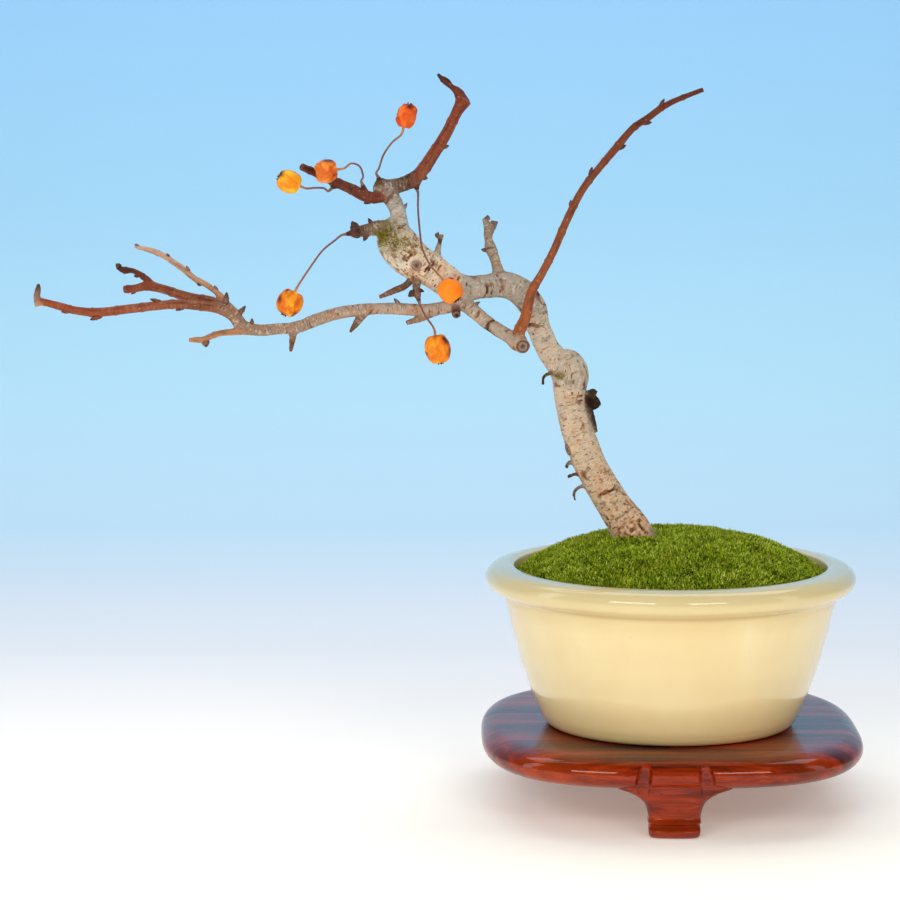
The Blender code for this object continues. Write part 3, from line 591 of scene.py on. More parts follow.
# Drain screen and soil
# Both keep their CAD shape: a black plastic net, and dark crumbly soil that shows only where the
# moss is thin. They get grain and bump from nodes.
def make_hidden_parts():
    net, place = new_material("black_net", roughness=0.5)
    shade(net, ramp(noise(place, 1.5), [(0.3, "#141414"), (0.7, "#262624")]), noise(place, 0.6), 0.05)
    soil, place = new_material("soil", roughness=0.95, specular_ior_level=0.2)
    crumbs = add_node("ShaderNodeTexVoronoi", vector=place, scale=0.6)
    tone = mix(0.5, crumbs.outputs["Color"], noise(place, 4.0))
    colour = ramp(tone, [(0.25, "#23170E"), (0.5, "#3E2B1C"), (0.8, "#6A4F36")])
    shade(soil, colour, crumbs.outputs["Distance"], 0.7)
    for name, slot, material in (("drain_screen", "black_net", net), ("soil", "soil", soil)):
        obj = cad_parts[name]
        obj.data.materials.clear()
        obj.data.materials.append(material)


make_hidden_parts()


# Moss
# A dense cushion of short green shoots. A bumpy dark green pad follows the mound of the soil, and
# tens of thousands of small pointed blades stand on it, taller in each clump's middle.
MOSS_EDGE_Z = POT_BASE_Z + 61.3
MOSS_RISE = 16.5
MOSS_REACH = OPENING_RADIUS - 1.0
MOSS_CALM_EDGE = 8.0
MOSS_PIECES = 3
BLADES_A_PIECE = 50000
BLADE_HEIGHT = 0.9
CLUMP_HEIGHT = 1.3
BLADE_LEAN = 0.6
OUTWARD_LEAN = 0.16
BLADE_DROOP = 0.25


def mound_height(x, y):
    r = np.minimum(np.hypot(x, y), MOSS_REACH)
    flat = np.stack([x, y, np.zeros_like(x)], axis=-1)
    edge = np.clip((MOSS_REACH - r) / MOSS_CALM_EDGE, 0, 1)
    bumps = 1.1 * fractal(flat, 14.0, 2, 5) + 0.7 * fractal(flat, 5.0, 2, 9)
    return MOSS_EDGE_Z + MOSS_RISE * (1 - (r / MOSS_REACH) ** 2.8) + bumps * edge


def clump_height(x, y):
    """From 0 between clumps to 1 in the middle of one."""
    flat = np.stack([x, y, np.zeros_like(x)], axis=-1)
    small = 1 - np.abs(lattice_noise(flat / 2.4, 21))
    wide = 0.5 + 0.5 * lattice_noise(flat / 7.0, 22)
    return np.clip(0.65 * small + 0.35 * wide, 0, 1)


def moss_pad_material():
    material, place = new_material("moss_pad", roughness=1.0, specular_ior_level=0.1)
    colour = ramp(noise(place, 1.6, 4.0, 0.7), [(0.3, "#141A05"), (0.5, "#2C380A"), (0.7, "#4A5A10")])
    shade(material, colour, noise(place, 0.9, 3.0), 0.8)
    return material


def moss_blade_material():
    """Green that lightens towards each tip. The tone comes with each blade as an attribute."""
    material, place = new_material("moss_shoots", roughness=0.75, specular_ior_level=0.25)
    colour = ramp(attribute(material, "tone"), [
        (0.0, "#141A04"), (0.25, "#364607"), (0.5, "#6C8608"), (0.72, "#9AB412"), (0.9, "#C8D434"),
        (1.0, "#E2E676"),
    ])
    shade(material, mix(span(noise(place, 15.0), 0.45, 0.7, 0.0, 0.5), colour, "#D8C25A", "MULTIPLY"))
    return material


def moss_blades(chance, count):
    """Random bent blades on the mound, each a quad and a pointed tip, with its points' tones."""
    r = (MOSS_REACH + 0.5) * np.sqrt(chance.random(count))
    turn = 2 * np.pi * chance.random(count)
    x, y = r * np.cos(turn), r * np.sin(turn)
    clump = clump_height(x, y)
    root = np.stack([x, y, mound_height(x, y) - 0.6], axis=1)
    tall = ((BLADE_HEIGHT + CLUMP_HEIGHT * clump) * (0.7 + 0.6 * chance.random(count)))[:, None]
    lean = chance.normal(0.0, BLADE_LEAN, (count, 2))
    lean += np.stack([x, y], axis=1) / MOSS_REACH * OUTWARD_LEAN
    ahead = np.column_stack([lean, np.ones(count)])
    ahead /= np.linalg.norm(ahead, axis=1)[:, None]
    facing = 2 * np.pi * chance.random(count)
    across = np.column_stack([np.cos(facing), np.sin(facing), np.zeros(count)])
    across *= (0.19 + 0.15 * chance.random(count))[:, None]
    droop = chance.normal(0.0, BLADE_DROOP, (count, 3)) * tall
    middle = root + ahead * tall * 0.55
    tip = root + ahead * tall + droop * 0.5
    corners = [root - across * 0.6, root + across * 0.6, middle + across, middle - across, tip]
    base = np.arange(count)[:, None] * len(corners)
    faces = (base + np.array([0, 1, 2, 3])).tolist() + (base + np.array([3, 2, 4])).tolist()
    light = 0.28 + 0.42 * clump + chance.normal(0.0, 0.22, count)
    tone = np.stack([light - 0.3, light - 0.3, light, light, light + 0.22], axis=1)
    return np.stack(corners, axis=1).reshape(-1, 3), faces, np.clip(tone, 0.0, 1.0)


def make_moss():
    rings, columns = 40, 160
    r = (MOSS_REACH * np.linspace(0, 1, rings) ** 0.8)[:, None]
    turn = circle(columns)[None]
    x, y = (r * np.cos(turn)).ravel(), (r * np.sin(turn)).ravel()
    top = np.stack([x, y, mound_height(x, y) - 0.4], axis=1)
    lower = top * np.array((0.995, 0.995, 1.0)) - np.array((0.0, 0.0, 2.2))
    pad = mesh_object(
        "moss_pad", np.vstack([top, lower[::-1]]), grid_faces(2 * rings, columns), moss_pad_material(),
    )
    dress(pad, "moss", "moss")
    material = moss_blade_material()
    for piece in range(MOSS_PIECES):
        points, faces, tone = moss_blades(np.random.default_rng(40 + piece), BLADES_A_PIECE)
        shoots = mesh_object(f"moss_shoots_{piece + 1}", points, faces, material)
        store(shoots, "tone", tone)
        dress(shoots, "moss", "moss")


make_moss()


# Tree
# Trunk, boughs, twigs and spurs, one piece of wood. Every limb is a list of (x, y, z, diameter)
# along its middle, with the colour of its bark at each end and how old and rough that bark is. The
# shell over the trunk's bend carries painted shade instead of bark colour, and the knob's lumps
# lighten towards their ends, partly their own brown and partly a painted highlight.
OLD_BARK = "#CDB69B"
PINK_BARK = "#C49A7E"
GREY_BARK = "#B5A491"
YOUNG_BARK = "#82351A"
TAN_BARK = "#B9825C"
DARK_BARK = "#43241A"
DEAD_BARK = "#1E1610"
LIMBS = {  # name: (colour at the root, colour at the tip, age, points)
    "trunk": ("#D8AC78", "#BCB8B0", 1.0, [
        (-2.2, -5, 82, 13.4), (-14.2, -5, 108, 16.2), (-18.8, -4, 116, 15.2), (-24.6, -3, 124.5, 13.8),
        (-32.6, -1, 138, 13.0), (-36.3, 1, 147, 13.2), (-39, 2, 154.5, 12.4), (-41, 4, 163, 11.8),
        (-41.2, 5, 168.5, 13.0), (-42, 5, 173.7, 12.2), (-45, 5, 178.5, 11.0), (-49.3, 5, 184, 9.8),
        (-52, 4, 189.5, 9.6), (-54.2, 3, 195, 9.5), (-56, 2, 202, 10.2), (-61, 1, 208.5, 10.5),
        (-67.5, 0, 211.5, 10.0), (-75, -2, 211, 8.8), (-83, -3, 210.5, 9.6), (-90, -3, 212.5, 12.0),
        (-97, -3, 217.5, 12.8), (-103.8, -2, 221.3, 14.6), (-109.6, -1.5, 226.6, 16.2),
        (-112, 1, 231.5, 13.4), (-110.4, 2, 237, 7.6), (-111, 3, 242, 6.3), (-113.5, 3, 246.5, 6.0),
        (-116, 3, 250.5, 6.4)]),
    "trunk_burr": (GREY_BARK, GREY_BARK, 0.9, [
        (-42, 5, 168, 8.0), (-40.6, 5, 171.5, 13.0), (-40.9, 4.5, 175.5, 14.6), (-41.6, 4.5, 178.6, 12.4),
        (-42.3, 4.5, 180.6, 8.0)]),
    # Painted shade: a shell over the trunk's bend whose darker grey stands for the shade on the bough.
    "bough_shell": ("#8A8074", "#80766A", 1.0, [
        (-56, 2, 202, 9.8), (-61, 1, 208.5, 10.4), (-67.5, 0, 211.5, 10.0), (-75, -2, 211, 8.8),
        (-83, -3, 210.5, 9.4)]),
    "crown_collar": ("#6E5848", "#5C4434", 1.0, [
        (-112, 3, 244.5, 5.8), (-115, 3, 249, 6.6), (-117, 3, 251, 6.0)]),
    "burr_shell": ("#FFE6C0", "#F4DAB0", 1.0, [
        (-92, -3, 214, 12.0), (-97, -3, 217.5, 12.8), (-103.8, -2, 221.3, 14.6), (-109, -1.5, 226, 16.0)]),
    "crown_base": ("#7A6454", "#4E3426", 0.9, [
        (-117.6, 3, 249.6, 6.0), (-113, 3.5, 250.6, 6.2), (-107.5, 5, 252, 6.0), (-103.5, 6, 254, 5.6)]),
    "crown_right": ("#8A4A2C", YOUNG_BARK, 0.25, [
        (-105, 5.6, 253.2, 5.6), (-103.5, 6, 254, 5.6), (-100, 8, 258, 5.2), (-97, 9, 262.5, 4.9),
        (-91.5, 11, 271, 4.6), (-87, 12, 280, 4.4), (-84, 13, 285.3, 6.2)]),
    "crown_tip": (YOUNG_BARK, DARK_BARK, 0.3, [
        (-84, 13, 284.5, 4.6), (-86.5, 12, 288.5, 3.6), (-89, 11, 290.5, 2.2), (-91, 10, 292.5, 3.0),
        (-93, 9, 294, 2.0), (-94.5, 8, 295.7, 1.2)]),
    "crown_left": ("#7A3A22", "#5E2A1A", 0.35, [
        (-114, 3, 247.5, 4.4), (-119.5, 0, 246.5, 4.6), (-124, -3, 247.5, 4.7), (-129.5, -6, 250.5, 4.2),
        (-136, -10, 253.5, 3.6), (-144, -13, 257.5, 3.2), (-148.8, -15, 259.7, 2.9)]),
    "left_bough": ("#C6B09E", "#8E6E58", 0.9, [
        (-84, -3, 208, 8.0), (-89, -4, 203.5, 5.8), (-97, -6, 202, 4.8), (-104.5, -7, 202, 4.8),
        (-112, -8, 202.5, 4.8), (-119.5, -9, 202.5, 4.6), (-127, -9, 202, 4.8), (-135.5, -9, 200.5, 4.8),
        (-143, -8, 198, 5.0), (-151, -8, 195, 4.8), (-158, -9, 194.5, 4.4), (-166, -10, 194, 4.6),
        (-172.5, -10, 195.5, 5.2), (-176, -11, 200, 5.2), (-181, -12, 204, 4.6)]),
    "twig_long": ("#8A5638", "#94401C", 0.25, [
        (-177, -11, 201, 4.4), (-182.5, -12, 203, 4.2), (-188, -14, 204, 4.0), (-197.5, -16, 205, 3.6),
        (-206.5, -18, 204.5, 3.6), (-216, -19, 203.5, 3.6), (-229, -19, 202, 3.6), (-238.5, -17, 202.5, 3.2),
        (-245, -15, 204, 3.2), (-251.5, -13, 205.5, 2.8), (-254.5, -13, 206, 2.6)]),
    "twig_long_bud": (PINK_BARK, DARK_BARK, 0.5, [
        (-253.6, -13, 204, 3.2), (-254.6, -13, 207.5, 2.6), (-254, -13, 210.5, 2.4),
        (-253.8, -13, 213, 0.8)]),
    "twig_middle": ("#8E5230", "#843A1E", 0.25, [
        (-178.5, -11, 202.5, 4.0), (-185, -9, 205.5, 4.0), (-192, -7, 206.5, 4.0), (-198.5, -5, 208, 3.8),
        (-205, -3, 210, 3.6), (-211, -1, 211, 3.6), (-216.5, 0, 210, 3.2), (-221, 1, 209.5, 3.2)]),
    "twig_middle_side": (YOUNG_BARK, DARK_BARK, 0.2, [
        (-209, -1, 210.5, 2.8), (-211.5, 0, 213.5, 2.6), (-215.5, 2, 216, 2.4), (-218, 3, 217, 2.1),
        (-221, 4, 217, 2.8), (-224, 5, 218, 1.4)]),
    "twig_top": (TAN_BARK, "#C29A80", 0.3, [
        (-177, -11, 202, 2.8), (-181, -8, 207, 2.5), (-187, -4, 211.5, 2.4), (-192.5, 0, 214, 2.4),
        (-198, 4, 218, 2.4), (-205.5, 8, 222.5, 2.2), (-210.5, 10, 224.5, 2.2), (-217.5, 13, 226, 1.2)]),
    "twig_low": (TAN_BARK, TAN_BARK, 0.3, [
        (-172, -10, 194, 3.2), (-175.5, -11, 193.5, 2.8), (-182, -14, 193, 2.4), (-188, -18, 191, 2.4),
        (-190.5, -19, 191, 2.4), (-193.5, -20, 191, 1.4)]),
    "strut": ("#BCA894", "#A89684", 0.9, [
        (-86, -3, 206, 6.4), (-78.5, -7, 200, 5.6), (-73.5, -9, 196, 5.6), (-67.5, -12, 192.5, 5.6),
        (-61.5, -16, 189.5, 6.0)]),
    "strut_knob": (GREY_BARK, PINK_BARK, 0.9, [(-62, -12.5, 189.3, 6.6), (-60.6, -19.5, 188.4, 6.0)]),
    "long_shoot": ("#A85A2C", "#5E2616", 0.15, [
        (-63.5, -14, 189, 5.0), (-61.5, -15, 195, 4.8), (-59.5, -14, 199.5, 4.4), (-57, -12, 209.5, 3.8),
        (-53, -10, 216.5, 3.4), (-48, -8, 226, 3.2), (-43, -6, 237.5, 3.2), (-36.5, -4, 250, 3.0),
        (-29, -2, 259.5, 3.0), (-22.5, 0, 267, 3.2), (-16.5, 1, 274, 2.8), (-10, 2, 278.5, 2.8),
        (-4.5, 3, 282.5, 2.6), (1.5, 4, 285.5, 2.3), (12, 6, 289.5, 1.9)]),
    "spur_right": ("#A89682", "#8E7A6A", 0.8, [
        (-69, 0, 211, 5.6), (-71, 2, 220, 4.0), (-73.2, 3, 226, 4.6), (-74, 4, 229, 3.2),
        (-74.3, 4, 233.5, 3.0), (-75.6, 4, 238, 2.3)]),
    "spur_right_fork": ("#8E7A6A", "#6E5A4C", 0.7, [
        (-74.3, 4, 231.5, 2.8), (-72.2, 3, 234.5, 2.5), (-71.6, 3, 237, 2.9)]),
    "spur_mid": ("#B4A08C", "#8A7464", 0.8, [
        (-94.5, -2, 217, 6.0), (-94.8, 0, 224, 3.0), (-93.8, 1, 228, 2.0), (-93.4, 1, 231.6, 2.7)]),
    "spur_down": (PINK_BARK, DARK_BARK, 0.6, [
        (-103.5, -3, 218, 4.6), (-103, -8, 213, 3.4), (-103, -10, 210, 3.0), (-102.6, -11, 207.8, 2.4)]),
    "thorn_twig": ("#5E3A2A", "#7E5240", 0.6, [
        (-104, -3, 215, 3.0), (-107.5, -5, 211.5, 2.8), (-112.5, -8, 209.5, 2.6), (-117.7, -11, 207.4, 1.5)]),
    "bud_arm": ("#B8A48C", "#5A3C30", 0.9, [
        (-110, 0, 230, 9.5), (-114, -1, 233, 8.0), (-118, -2, 234.5, 6.2), (-122.5, -3, 233.8, 4.8),
        (-127.5, -5, 232.8, 4.2)]),
    "front_stub": (OLD_BARK, PINK_BARK, 0.8, [(-103.5, -1, 219, 5.4), (-103, -10.4, 220, 4.0)]),
    "bough_stub": (PINK_BARK, DARK_BARK, 0.8, [(-87.5, -4, 203.5, 4.0), (-87, -10, 200, 3.4)]),
    "spur_under": ("#A88A70", "#8A6A50", 0.8, [
        (-96, -6, 201, 3.2), (-101.5, -8, 198.5, 2.8), (-107, -10, 197, 1.8)]),
    "spur_bough_1": ("#A07C60", "#6A4630", 0.8, [
        (-123, -9, 202, 3.2), (-127, -11, 197, 2.8), (-129.5, -13, 193.5, 1.0)]),
    "spur_bough_2": ("#A07C60", "#6A4630", 0.8, [
        (-152, -8, 195, 3.2), (-153, -9, 189, 2.4), (-153.5, -10, 185.5, 1.2)]),
    "dead_knob": (DEAD_BARK, DEAD_BARK, 0.9, [
        (-40, 5, 165.5, 6.0), (-35, 5.5, 164.5, 5.6), (-32, 6, 163.6, 5.4)]),
    # The knob's lumps lighten towards their ends, partly their own mid-brown and partly a painted highlight
    # on the wrinkles.
    "knob_lump_1": ("#2E2218", "#463422", 0.9, [
        (-33, 4.5, 166.5, 3.4), (-31.6, 4, 166.8, 4.2), (-30.6, 4, 166.2, 3.6)]),
    "knob_lump_2": ("#20160F", "#38291A", 0.9, [
        (-31.5, 5, 163, 3.6), (-30.4, 4.5, 162.4, 4.2), (-29.8, 4.5, 161.6, 3.0)]),
    "knob_lump_3": ("#20160E", "#48361F", 0.9, [
        (-34.4, 2.5, 161, 3.2), (-33.6, 1.5, 160, 3.6), (-33.2, 1, 158.6, 2.6)]),
    "root_flare": (OLD_BARK, "#6E5238", 1.0, [
        (-14, -7, 113.5, 8.4), (-9.4, -8, 110, 5.4), (-5, -9, 107.8, 3.6)]),
    "knob_ridge": (DEAD_BARK, "#3A2A1E", 0.9, [
        (-34.5, 5, 161.5, 4.4), (-32.3, 5, 157.5, 3.0), (-30.2, 4, 151, 1.4)]),
    "side_scar": (OLD_BARK, "#DCC4A4", 1.0, [
        (-36.5, -2, 146.6, 5.6), (-40.0, -4.4, 145.8, 6.2), (-42.2, -5.4, 145.2, 5.0)]),
    "bark_curl_1": (DARK_BARK, DARK_BARK, 0.9, [
        (-47, 2, 176, 1.6), (-51.5, 0, 174.5, 1.2), (-52, 0, 171, 1.0)]),
    "bark_curl_2": (GREY_BARK, DARK_BARK, 0.9, [
        (-37, -1, 139.5, 2.2), (-41.5, -3, 139.5, 1.6), (-42.5, -3, 137.5, 1.2)]),
    "bark_curl_3": (GREY_BARK, DARK_BARK, 0.9, [
        (-34, -2, 134, 2.0), (-39, -4, 135, 1.4), (-42, -5, 134, 1.4)]),
    "bark_curl_4": (GREY_BARK, DARK_BARK, 0.9, [
        (-32, -3, 130, 2.0), (-37, -5, 130, 1.4), (-39.5, -5, 127.5, 1.2), (-39, -5, 124.5, 1.0)]),
    "fruit_spur_1": (YOUNG_BARK, DARK_BARK, 0.4, [(-117, 3, 251, 3.4), (-118.4, 1, 254.5, 1.6)]),
    "fruit_spur_2": (YOUNG_BARK, DARK_BARK, 0.4, [
        (-123.5, -4.5, 248.5, 3.0), (-124.5, -7.5, 252, 1.6)]),
    "fruit_spur_3": (YOUNG_BARK, DARK_BARK, 0.4, [(-134, -9, 253, 2.8), (-136.5, -10.5, 251, 1.6)]),
    "fruit_spur_4": (YOUNG_BARK, DARK_BARK, 0.4, [(-127.5, -5.5, 233, 2.6), (-131, -7, 232.3, 1.6)]),
    "fruit_spur_5": (YOUNG_BARK, DARK_BARK, 0.4, [(-103.5, 6, 253, 3.0), (-102.8, 3.6, 249.5, 1.6)]),
    "fruit_spur_6": (PINK_BARK, DARK_BARK, 0.4, [(-102.7, -10.5, 208.4, 2.2), (-102, -12, 206, 1.6)]),
}
ROUND_ENDS = (
    "trunk_burr", "burr_shell", "bough_shell", "crown_collar", "dead_knob", "knob_lump_1",
    "knob_lump_2", "knob_lump_3", "root_flare", "crown_tip", "spur_mid", "bud_arm", "spur_right_fork",
)
VOXEL = 0.515
BLEND = 0.45
LIMB_STEP = 1.0
LIMB_SIDES = 16
LIMB_SHIFT = 61.7  # sets the noise of one limb apart from the next
SAWN_DIAMETER = 2.2
CUT_FADE = 0.3
FAR = 30.0
BURR_MIDDLE = (-105, -3, 222.0)


class Limb:
    """A limb with its middle line, frames, radii and lengths at about LIMB_STEP apart."""

    def __init__(self, name, root_colour, tip_colour, age, points):
        rough = smooth_route(points, 12)
        lengths = np.concatenate([[0.0], np.cumsum(np.linalg.norm(np.diff(rough[:, :3], axis=0), axis=1))])
        count = max(int(lengths[-1] / LIMB_STEP), 3)
        self.lengths = np.linspace(0.0, lengths[-1], count)
        self.route = np.column_stack([np.interp(self.lengths, lengths, rough[:, k]) for k in range(4)])
        self.ahead, self.side, self.up = path_frames(self.route[:, :3])
        self.name = name
        self.colours = np.array([linear(root_colour)[:3], linear(tip_colour)[:3]])
        self.age = age
        self.sawn = self.route[-1, 3] > SAWN_DIAMETER and name not in ROUND_ENDS

    def measure(self, points):
        """Distance outside the bark, direction out, place along, place in the straightened limb,
        and how far past the flat end, for points near this limb."""
        middles, radii = self.route[:, :3], self.route[:, 3] / 2
        start, step = middles[:-1], np.diff(middles, axis=0)
        share = np.einsum("nsk,sk->ns", points[:, None] - start, step) / np.sum(step * step, axis=1)
        share = np.clip(share, 0.0, 1.0)
        out = points[:, None] - start - share[..., None] * step
        gap = np.linalg.norm(out, axis=2)
        radius = radii[:-1] + share * np.diff(radii)
        best = np.argmin(gap - radius, axis=1)
        row = np.arange(len(points))
        out, gap, share = out[row, best], gap[row, best], share[row, best]
        distance = gap - radius[row, best]
        along = self.lengths[best] + share * np.diff(self.lengths)[best]
        past = (points - middles[-1]) @ self.ahead[-1]
        local = np.column_stack([
            np.einsum("nk,nk->n", out, self.side[best]), np.einsum("nk,nk->n", out, self.up[best]), along,
        ])
        out = out / np.maximum(gap, 1e-6)[:, None]
        if self.sawn:
            ended = past > distance
            distance = np.where(ended, past, distance)
            out[ended] = self.ahead[-1]
        return distance, out, along / self.lengths[-1], local, past


def survey(limbs, points):
    """For each point: the smoothly joined distance and direction out, and from the limbs near it
    the bark's colour, its age, its straightened place, and whether it is on a cut end."""
    count = len(points)
    distance = np.full((count, len(limbs)), FAR)
    out = np.zeros((count, len(limbs), 3))
    colour = np.zeros((count, len(limbs), 3))
    local = np.zeros((count, 3))
    nearest = np.full(count, FAR)
    end = np.zeros(count)
    for k, limb in enumerate(limbs):
        margin = limb.route[:, 3].max() / 2 + 3.0
        low, high = limb.route[:, :3].min(0) - margin, limb.route[:, :3].max(0) + margin
        near = np.flatnonzero(np.all((points > low) & (points < high), axis=1))
        for part in np.array_split(near, max(len(near) // 8000, 1)):
            if len(part) == 0:
                continue
            found, direction, share, place, past = limb.measure(points[part])
            distance[part, k] = found
            out[part, k] = direction
            share = share[:, None] ** 0.7
            colour[part, k] = limb.colours[0] * (1 - share) + limb.colours[1] * share
            closer = found < nearest[part]
            chosen = part[closer]
            nearest[chosen] = found[closer]
            local[chosen] = place[closer] + np.array((0.0, 0.0, LIMB_SHIFT * k))
            end[chosen] = np.clip(1 + past[closer] / CUT_FADE, 0, 1) * limb.sawn
    weight = np.exp(-(distance - nearest[:, None]) / BLEND)
    total = weight.sum(axis=1)
    joined = nearest - BLEND * np.log(total)
    weight /= total[:, None]
    ages = np.array([limb.age for limb in limbs])
    direction = np.einsum("nl,nlk->nk", weight, out)
    direction /= np.maximum(np.linalg.norm(direction, axis=1), 1e-6)[:, None]
    return joined, direction, np.einsum("nl,nlk->nk", weight, colour), weight @ ages, local, end


def move_onto_bark(limbs, points, most):
    """Slides points out or in to the bark, by most millimetres at each of three steps."""
    for _ in range(3):
        distance, direction, *_ = survey(limbs, points)
        points = points - direction * np.clip(distance, -most, most)[:, None]
    return points


def bark_relief(points, local, age, end):
    """Height of the bark in mm and the depth of its hollows: swellings, cracks round the limb,
    upright cracks and crowded pits low on the trunk, tiles on the burr, and nodes on young wood."""
    girth = np.hypot(local[:, 0], local[:, 1])
    swell = 0.05 * girth * fractal(points, 9.0, 2, 3)
    wander = local[:, 2] + 1.8 * fractal(points, 5.0, 2, 4)
    ring_place = np.column_stack([local[:, 0] * 0.12, local[:, 1] * 0.12, wander / 2.6])
    rings = 1 - np.abs(lattice_noise(ring_place, 31)) * 5.0
    crack = np.clip(rings - 0.3, 0, 1) * np.clip(0.2 + 1.2 * lattice_noise(points / 5.0, 33), 0, 1)
    base = np.clip((140 - points[:, 2]) / 26, 0, 1)
    upright = np.abs(lattice_noise(local * np.array((0.55, 0.55, 0.16)), 17))
    fissure = np.clip(0.16 - upright, 0, 1) * 2.5 * base
    pits = np.clip(lattice_noise(local * np.array((0.75, 0.75, 1.3)), 12) - 0.62 + 0.3 * base, 0, 1) * 1.6
    hollow = age * (0.9 * crack + 0.3 * fissure + 0.55 * pits) * (1 - 0.9 * end)
    burr = np.clip(1.3 - np.linalg.norm(points - np.array(BURR_MIDDLE), axis=1) / 9.0, 0, 1) ** 0.5
    tiles = np.abs(lattice_noise(local * np.array((0.42, 0.42, 0.5)), 61))
    hollow = hollow + burr * np.clip(0.15 - tiles, 0, 1) * 4.5 * (1 - end)
    spacing = (local[:, 2] + 3.5 * lattice_noise(points / 16.0, 62)) % 11.0
    young = np.clip((0.5 - age) / 0.2, 0, 1)
    node = np.exp(-(((spacing - 4.0) / 0.7) ** 2))
    swell = swell + young * (0.2 * node + 0.03 * fractal(points, 2.0, 2, 63))
    hollow = hollow + young * 0.16 * np.exp(-(((spacing - 5.0) / 0.22) ** 2))
    grain = fractal(points, 1.1, 2, 8) * (0.04 + 0.1 * age)
    return (swell + grain) * (1 - 0.8 * end) - 0.55 * hollow, hollow


def bark():
    """Bark whose own colour is mottled by pink and grey patches, hair lines, ticks and dark
    hollows. Old bark is matt, young bark has a soft shine and pale spots, and cut ends have rings."""
    material, place = new_material("crabapple_bark", specular_ior_level=0.2)
    tint = attribute(material, "bark_colour", "Color")
    local = attribute(material, "along_limb", "Vector")
    age, cut_end, hollow = [attribute(material, name) for name in ("bark_age", "cut_end", "hollow")]
    old = multiply(age, span(tint, 0.02, 0.14))
    young = span(age, 0.6, 0.3)
    patches = noise(place, 6.0, 3.0, 0.6)
    colour = mix(multiply(span(patches, 0.52, 0.66, 0.0, 0.7), old), tint, "#F6D2B0", "MULTIPLY")
    colour = mix(span(patches, 0.46, 0.34, 0.0, 0.6), colour, "#CFD0CC", "MULTIPLY")
    mottle = span(noise(stretch(local, 0.5, 0.5, 1.3), 1.3, 4.0, 0.7), 0.5, 0.68, 0.0, 0.6)
    colour = mix(multiply(mottle, old), colour, "#9C7858", "MULTIPLY")
    light = span(noise(stretch(local, 0.5, 0.5, 1.2), 1.2, 3.0, 0.65), 0.52, 0.64, 0.0, 0.5)
    hair = noise(stretch(local, 0.07, 0.07, 1.0), 2.2, 3.0, 0.6)
    line = multiply(span(hair, 0.485, 0.497), span(hair, 0.515, 0.503))
    line = multiply(line, span(noise(place, 4.0), 0.45, 0.6, 0.0, 0.75))
    tick = span(noise(stretch(local, 0.5, 0.5, 1.9), 0.9, 2.0), 0.63, 0.68, 0.0, 0.85)
    crowd = span(noise(stretch(local, 0.55, 0.55, 1.2), 1.2, 3.0, 0.6), 0.54, 0.6)
    crowd = multiply(crowd, span(height_of(place), 150.0, 112.0, 0.0, 0.8))
    for mask, mark in ((light, "#E6DAC6"), (line, "#5C4430"), (tick, "#43291A"), (crowd, "#6A4830")):
        colour = mix(multiply(mask, old), colour, mark)
    spots = add_node("ShaderNodeTexVoronoi", vector=stretch(local, 0.55, 0.55, 0.3), scale=1.0)
    spot = span(spots.outputs["Distance"], 0.08, 0.14, 0.5, 0.0)
    colour = mix(multiply(spot, young), colour, "#D2A27C")
    streak = span(noise(stretch(local, 1.0, 1.0, 0.12), 1.2, 2.0), 0.5, 0.68, 0.0, 0.55)
    colour = mix(multiply(streak, young), colour, "#7A5A50", "MULTIPLY")
    colour = mix(span(hollow, 0.03, 0.2, 0.0, 0.7), colour, "#B87848", "MULTIPLY")
    colour = mix(span(hollow, 0.2, 0.5, 0.0, 0.9), colour, "#2E1A10")
    flat = stretch(local, 1.0, 1.0, 0.0)
    across = add_node("ShaderNodeVectorMath", {"operation": "LENGTH"}, input_0=flat).outputs["Value"]
    ring = calculate("ADD", across, multiply(noise(place, 1.5), 0.9))
    wood = ramp(span(ring, 0.3, 3.2), [
        (0.0, "#0E0806"), (0.2, "#1C120E"), (0.34, "#5E4A3E"), (0.6, "#94796A"), (0.74, "#4E382C"),
        (0.86, "#2A1C16"), (1.0, "#8A6E58"),
    ])
    colour = mix(multiply(cut_end, 0.85), colour, wood)
    shade(material, colour, noise(place, 0.45, 3.0, 0.6), 0.16, 0.6, span(age, 0.15, 0.8, 0.42, 0.9))
    return material


def voxel_skin(solids):
    """One skin round overlapping solids, as points and quads in millimetres."""
    rough = mesh_object("rough_wood", *join_solids(solids), None)
    remesh = rough.modifiers.new("remesh", "REMESH")
    remesh.mode = "VOXEL"
    remesh.voxel_size = VOXEL * MM
    apply_modifiers(rough)
    data = rough.data
    points = np.empty(len(data.vertices) * 3)
    data.vertices.foreach_get("co", points)
    points = (points.reshape(-1, 3) - np.array(AXIS)) / MM
    faces = np.empty(len(data.loops), dtype=np.int32)
    data.loops.foreach_get("vertex_index", faces)
    bpy.data.objects.remove(rough)
    return points, faces.reshape(-1, 4)


def make_tree():
    limbs = [Limb(name, *facts) for name, facts in LIMBS.items()]
    points, faces = voxel_skin([tube(limb.route, LIMB_SIDES) for limb in limbs])
    points = move_onto_bark(limbs, points, 1.0)
    _, direction, colour, age, local, end = survey(limbs, points)
    relief, hollow = bark_relief(points, local, age, end)
    tree = mesh_object("tree_wood", points + direction * relief[:, None], faces.tolist(), bark())
    store(tree, "bark_age", age)
    store(tree, "cut_end", end)
    store(tree, "hollow", np.clip(hollow, 0, 1))
    store(tree, "along_limb", local)
    store(tree, "bark_colour", np.column_stack([colour, np.ones(len(colour))]))
    dress(tree, "crabapple_bark", "tree")
    return {limb.name: limb for limb in limbs}


limbs = make_tree()


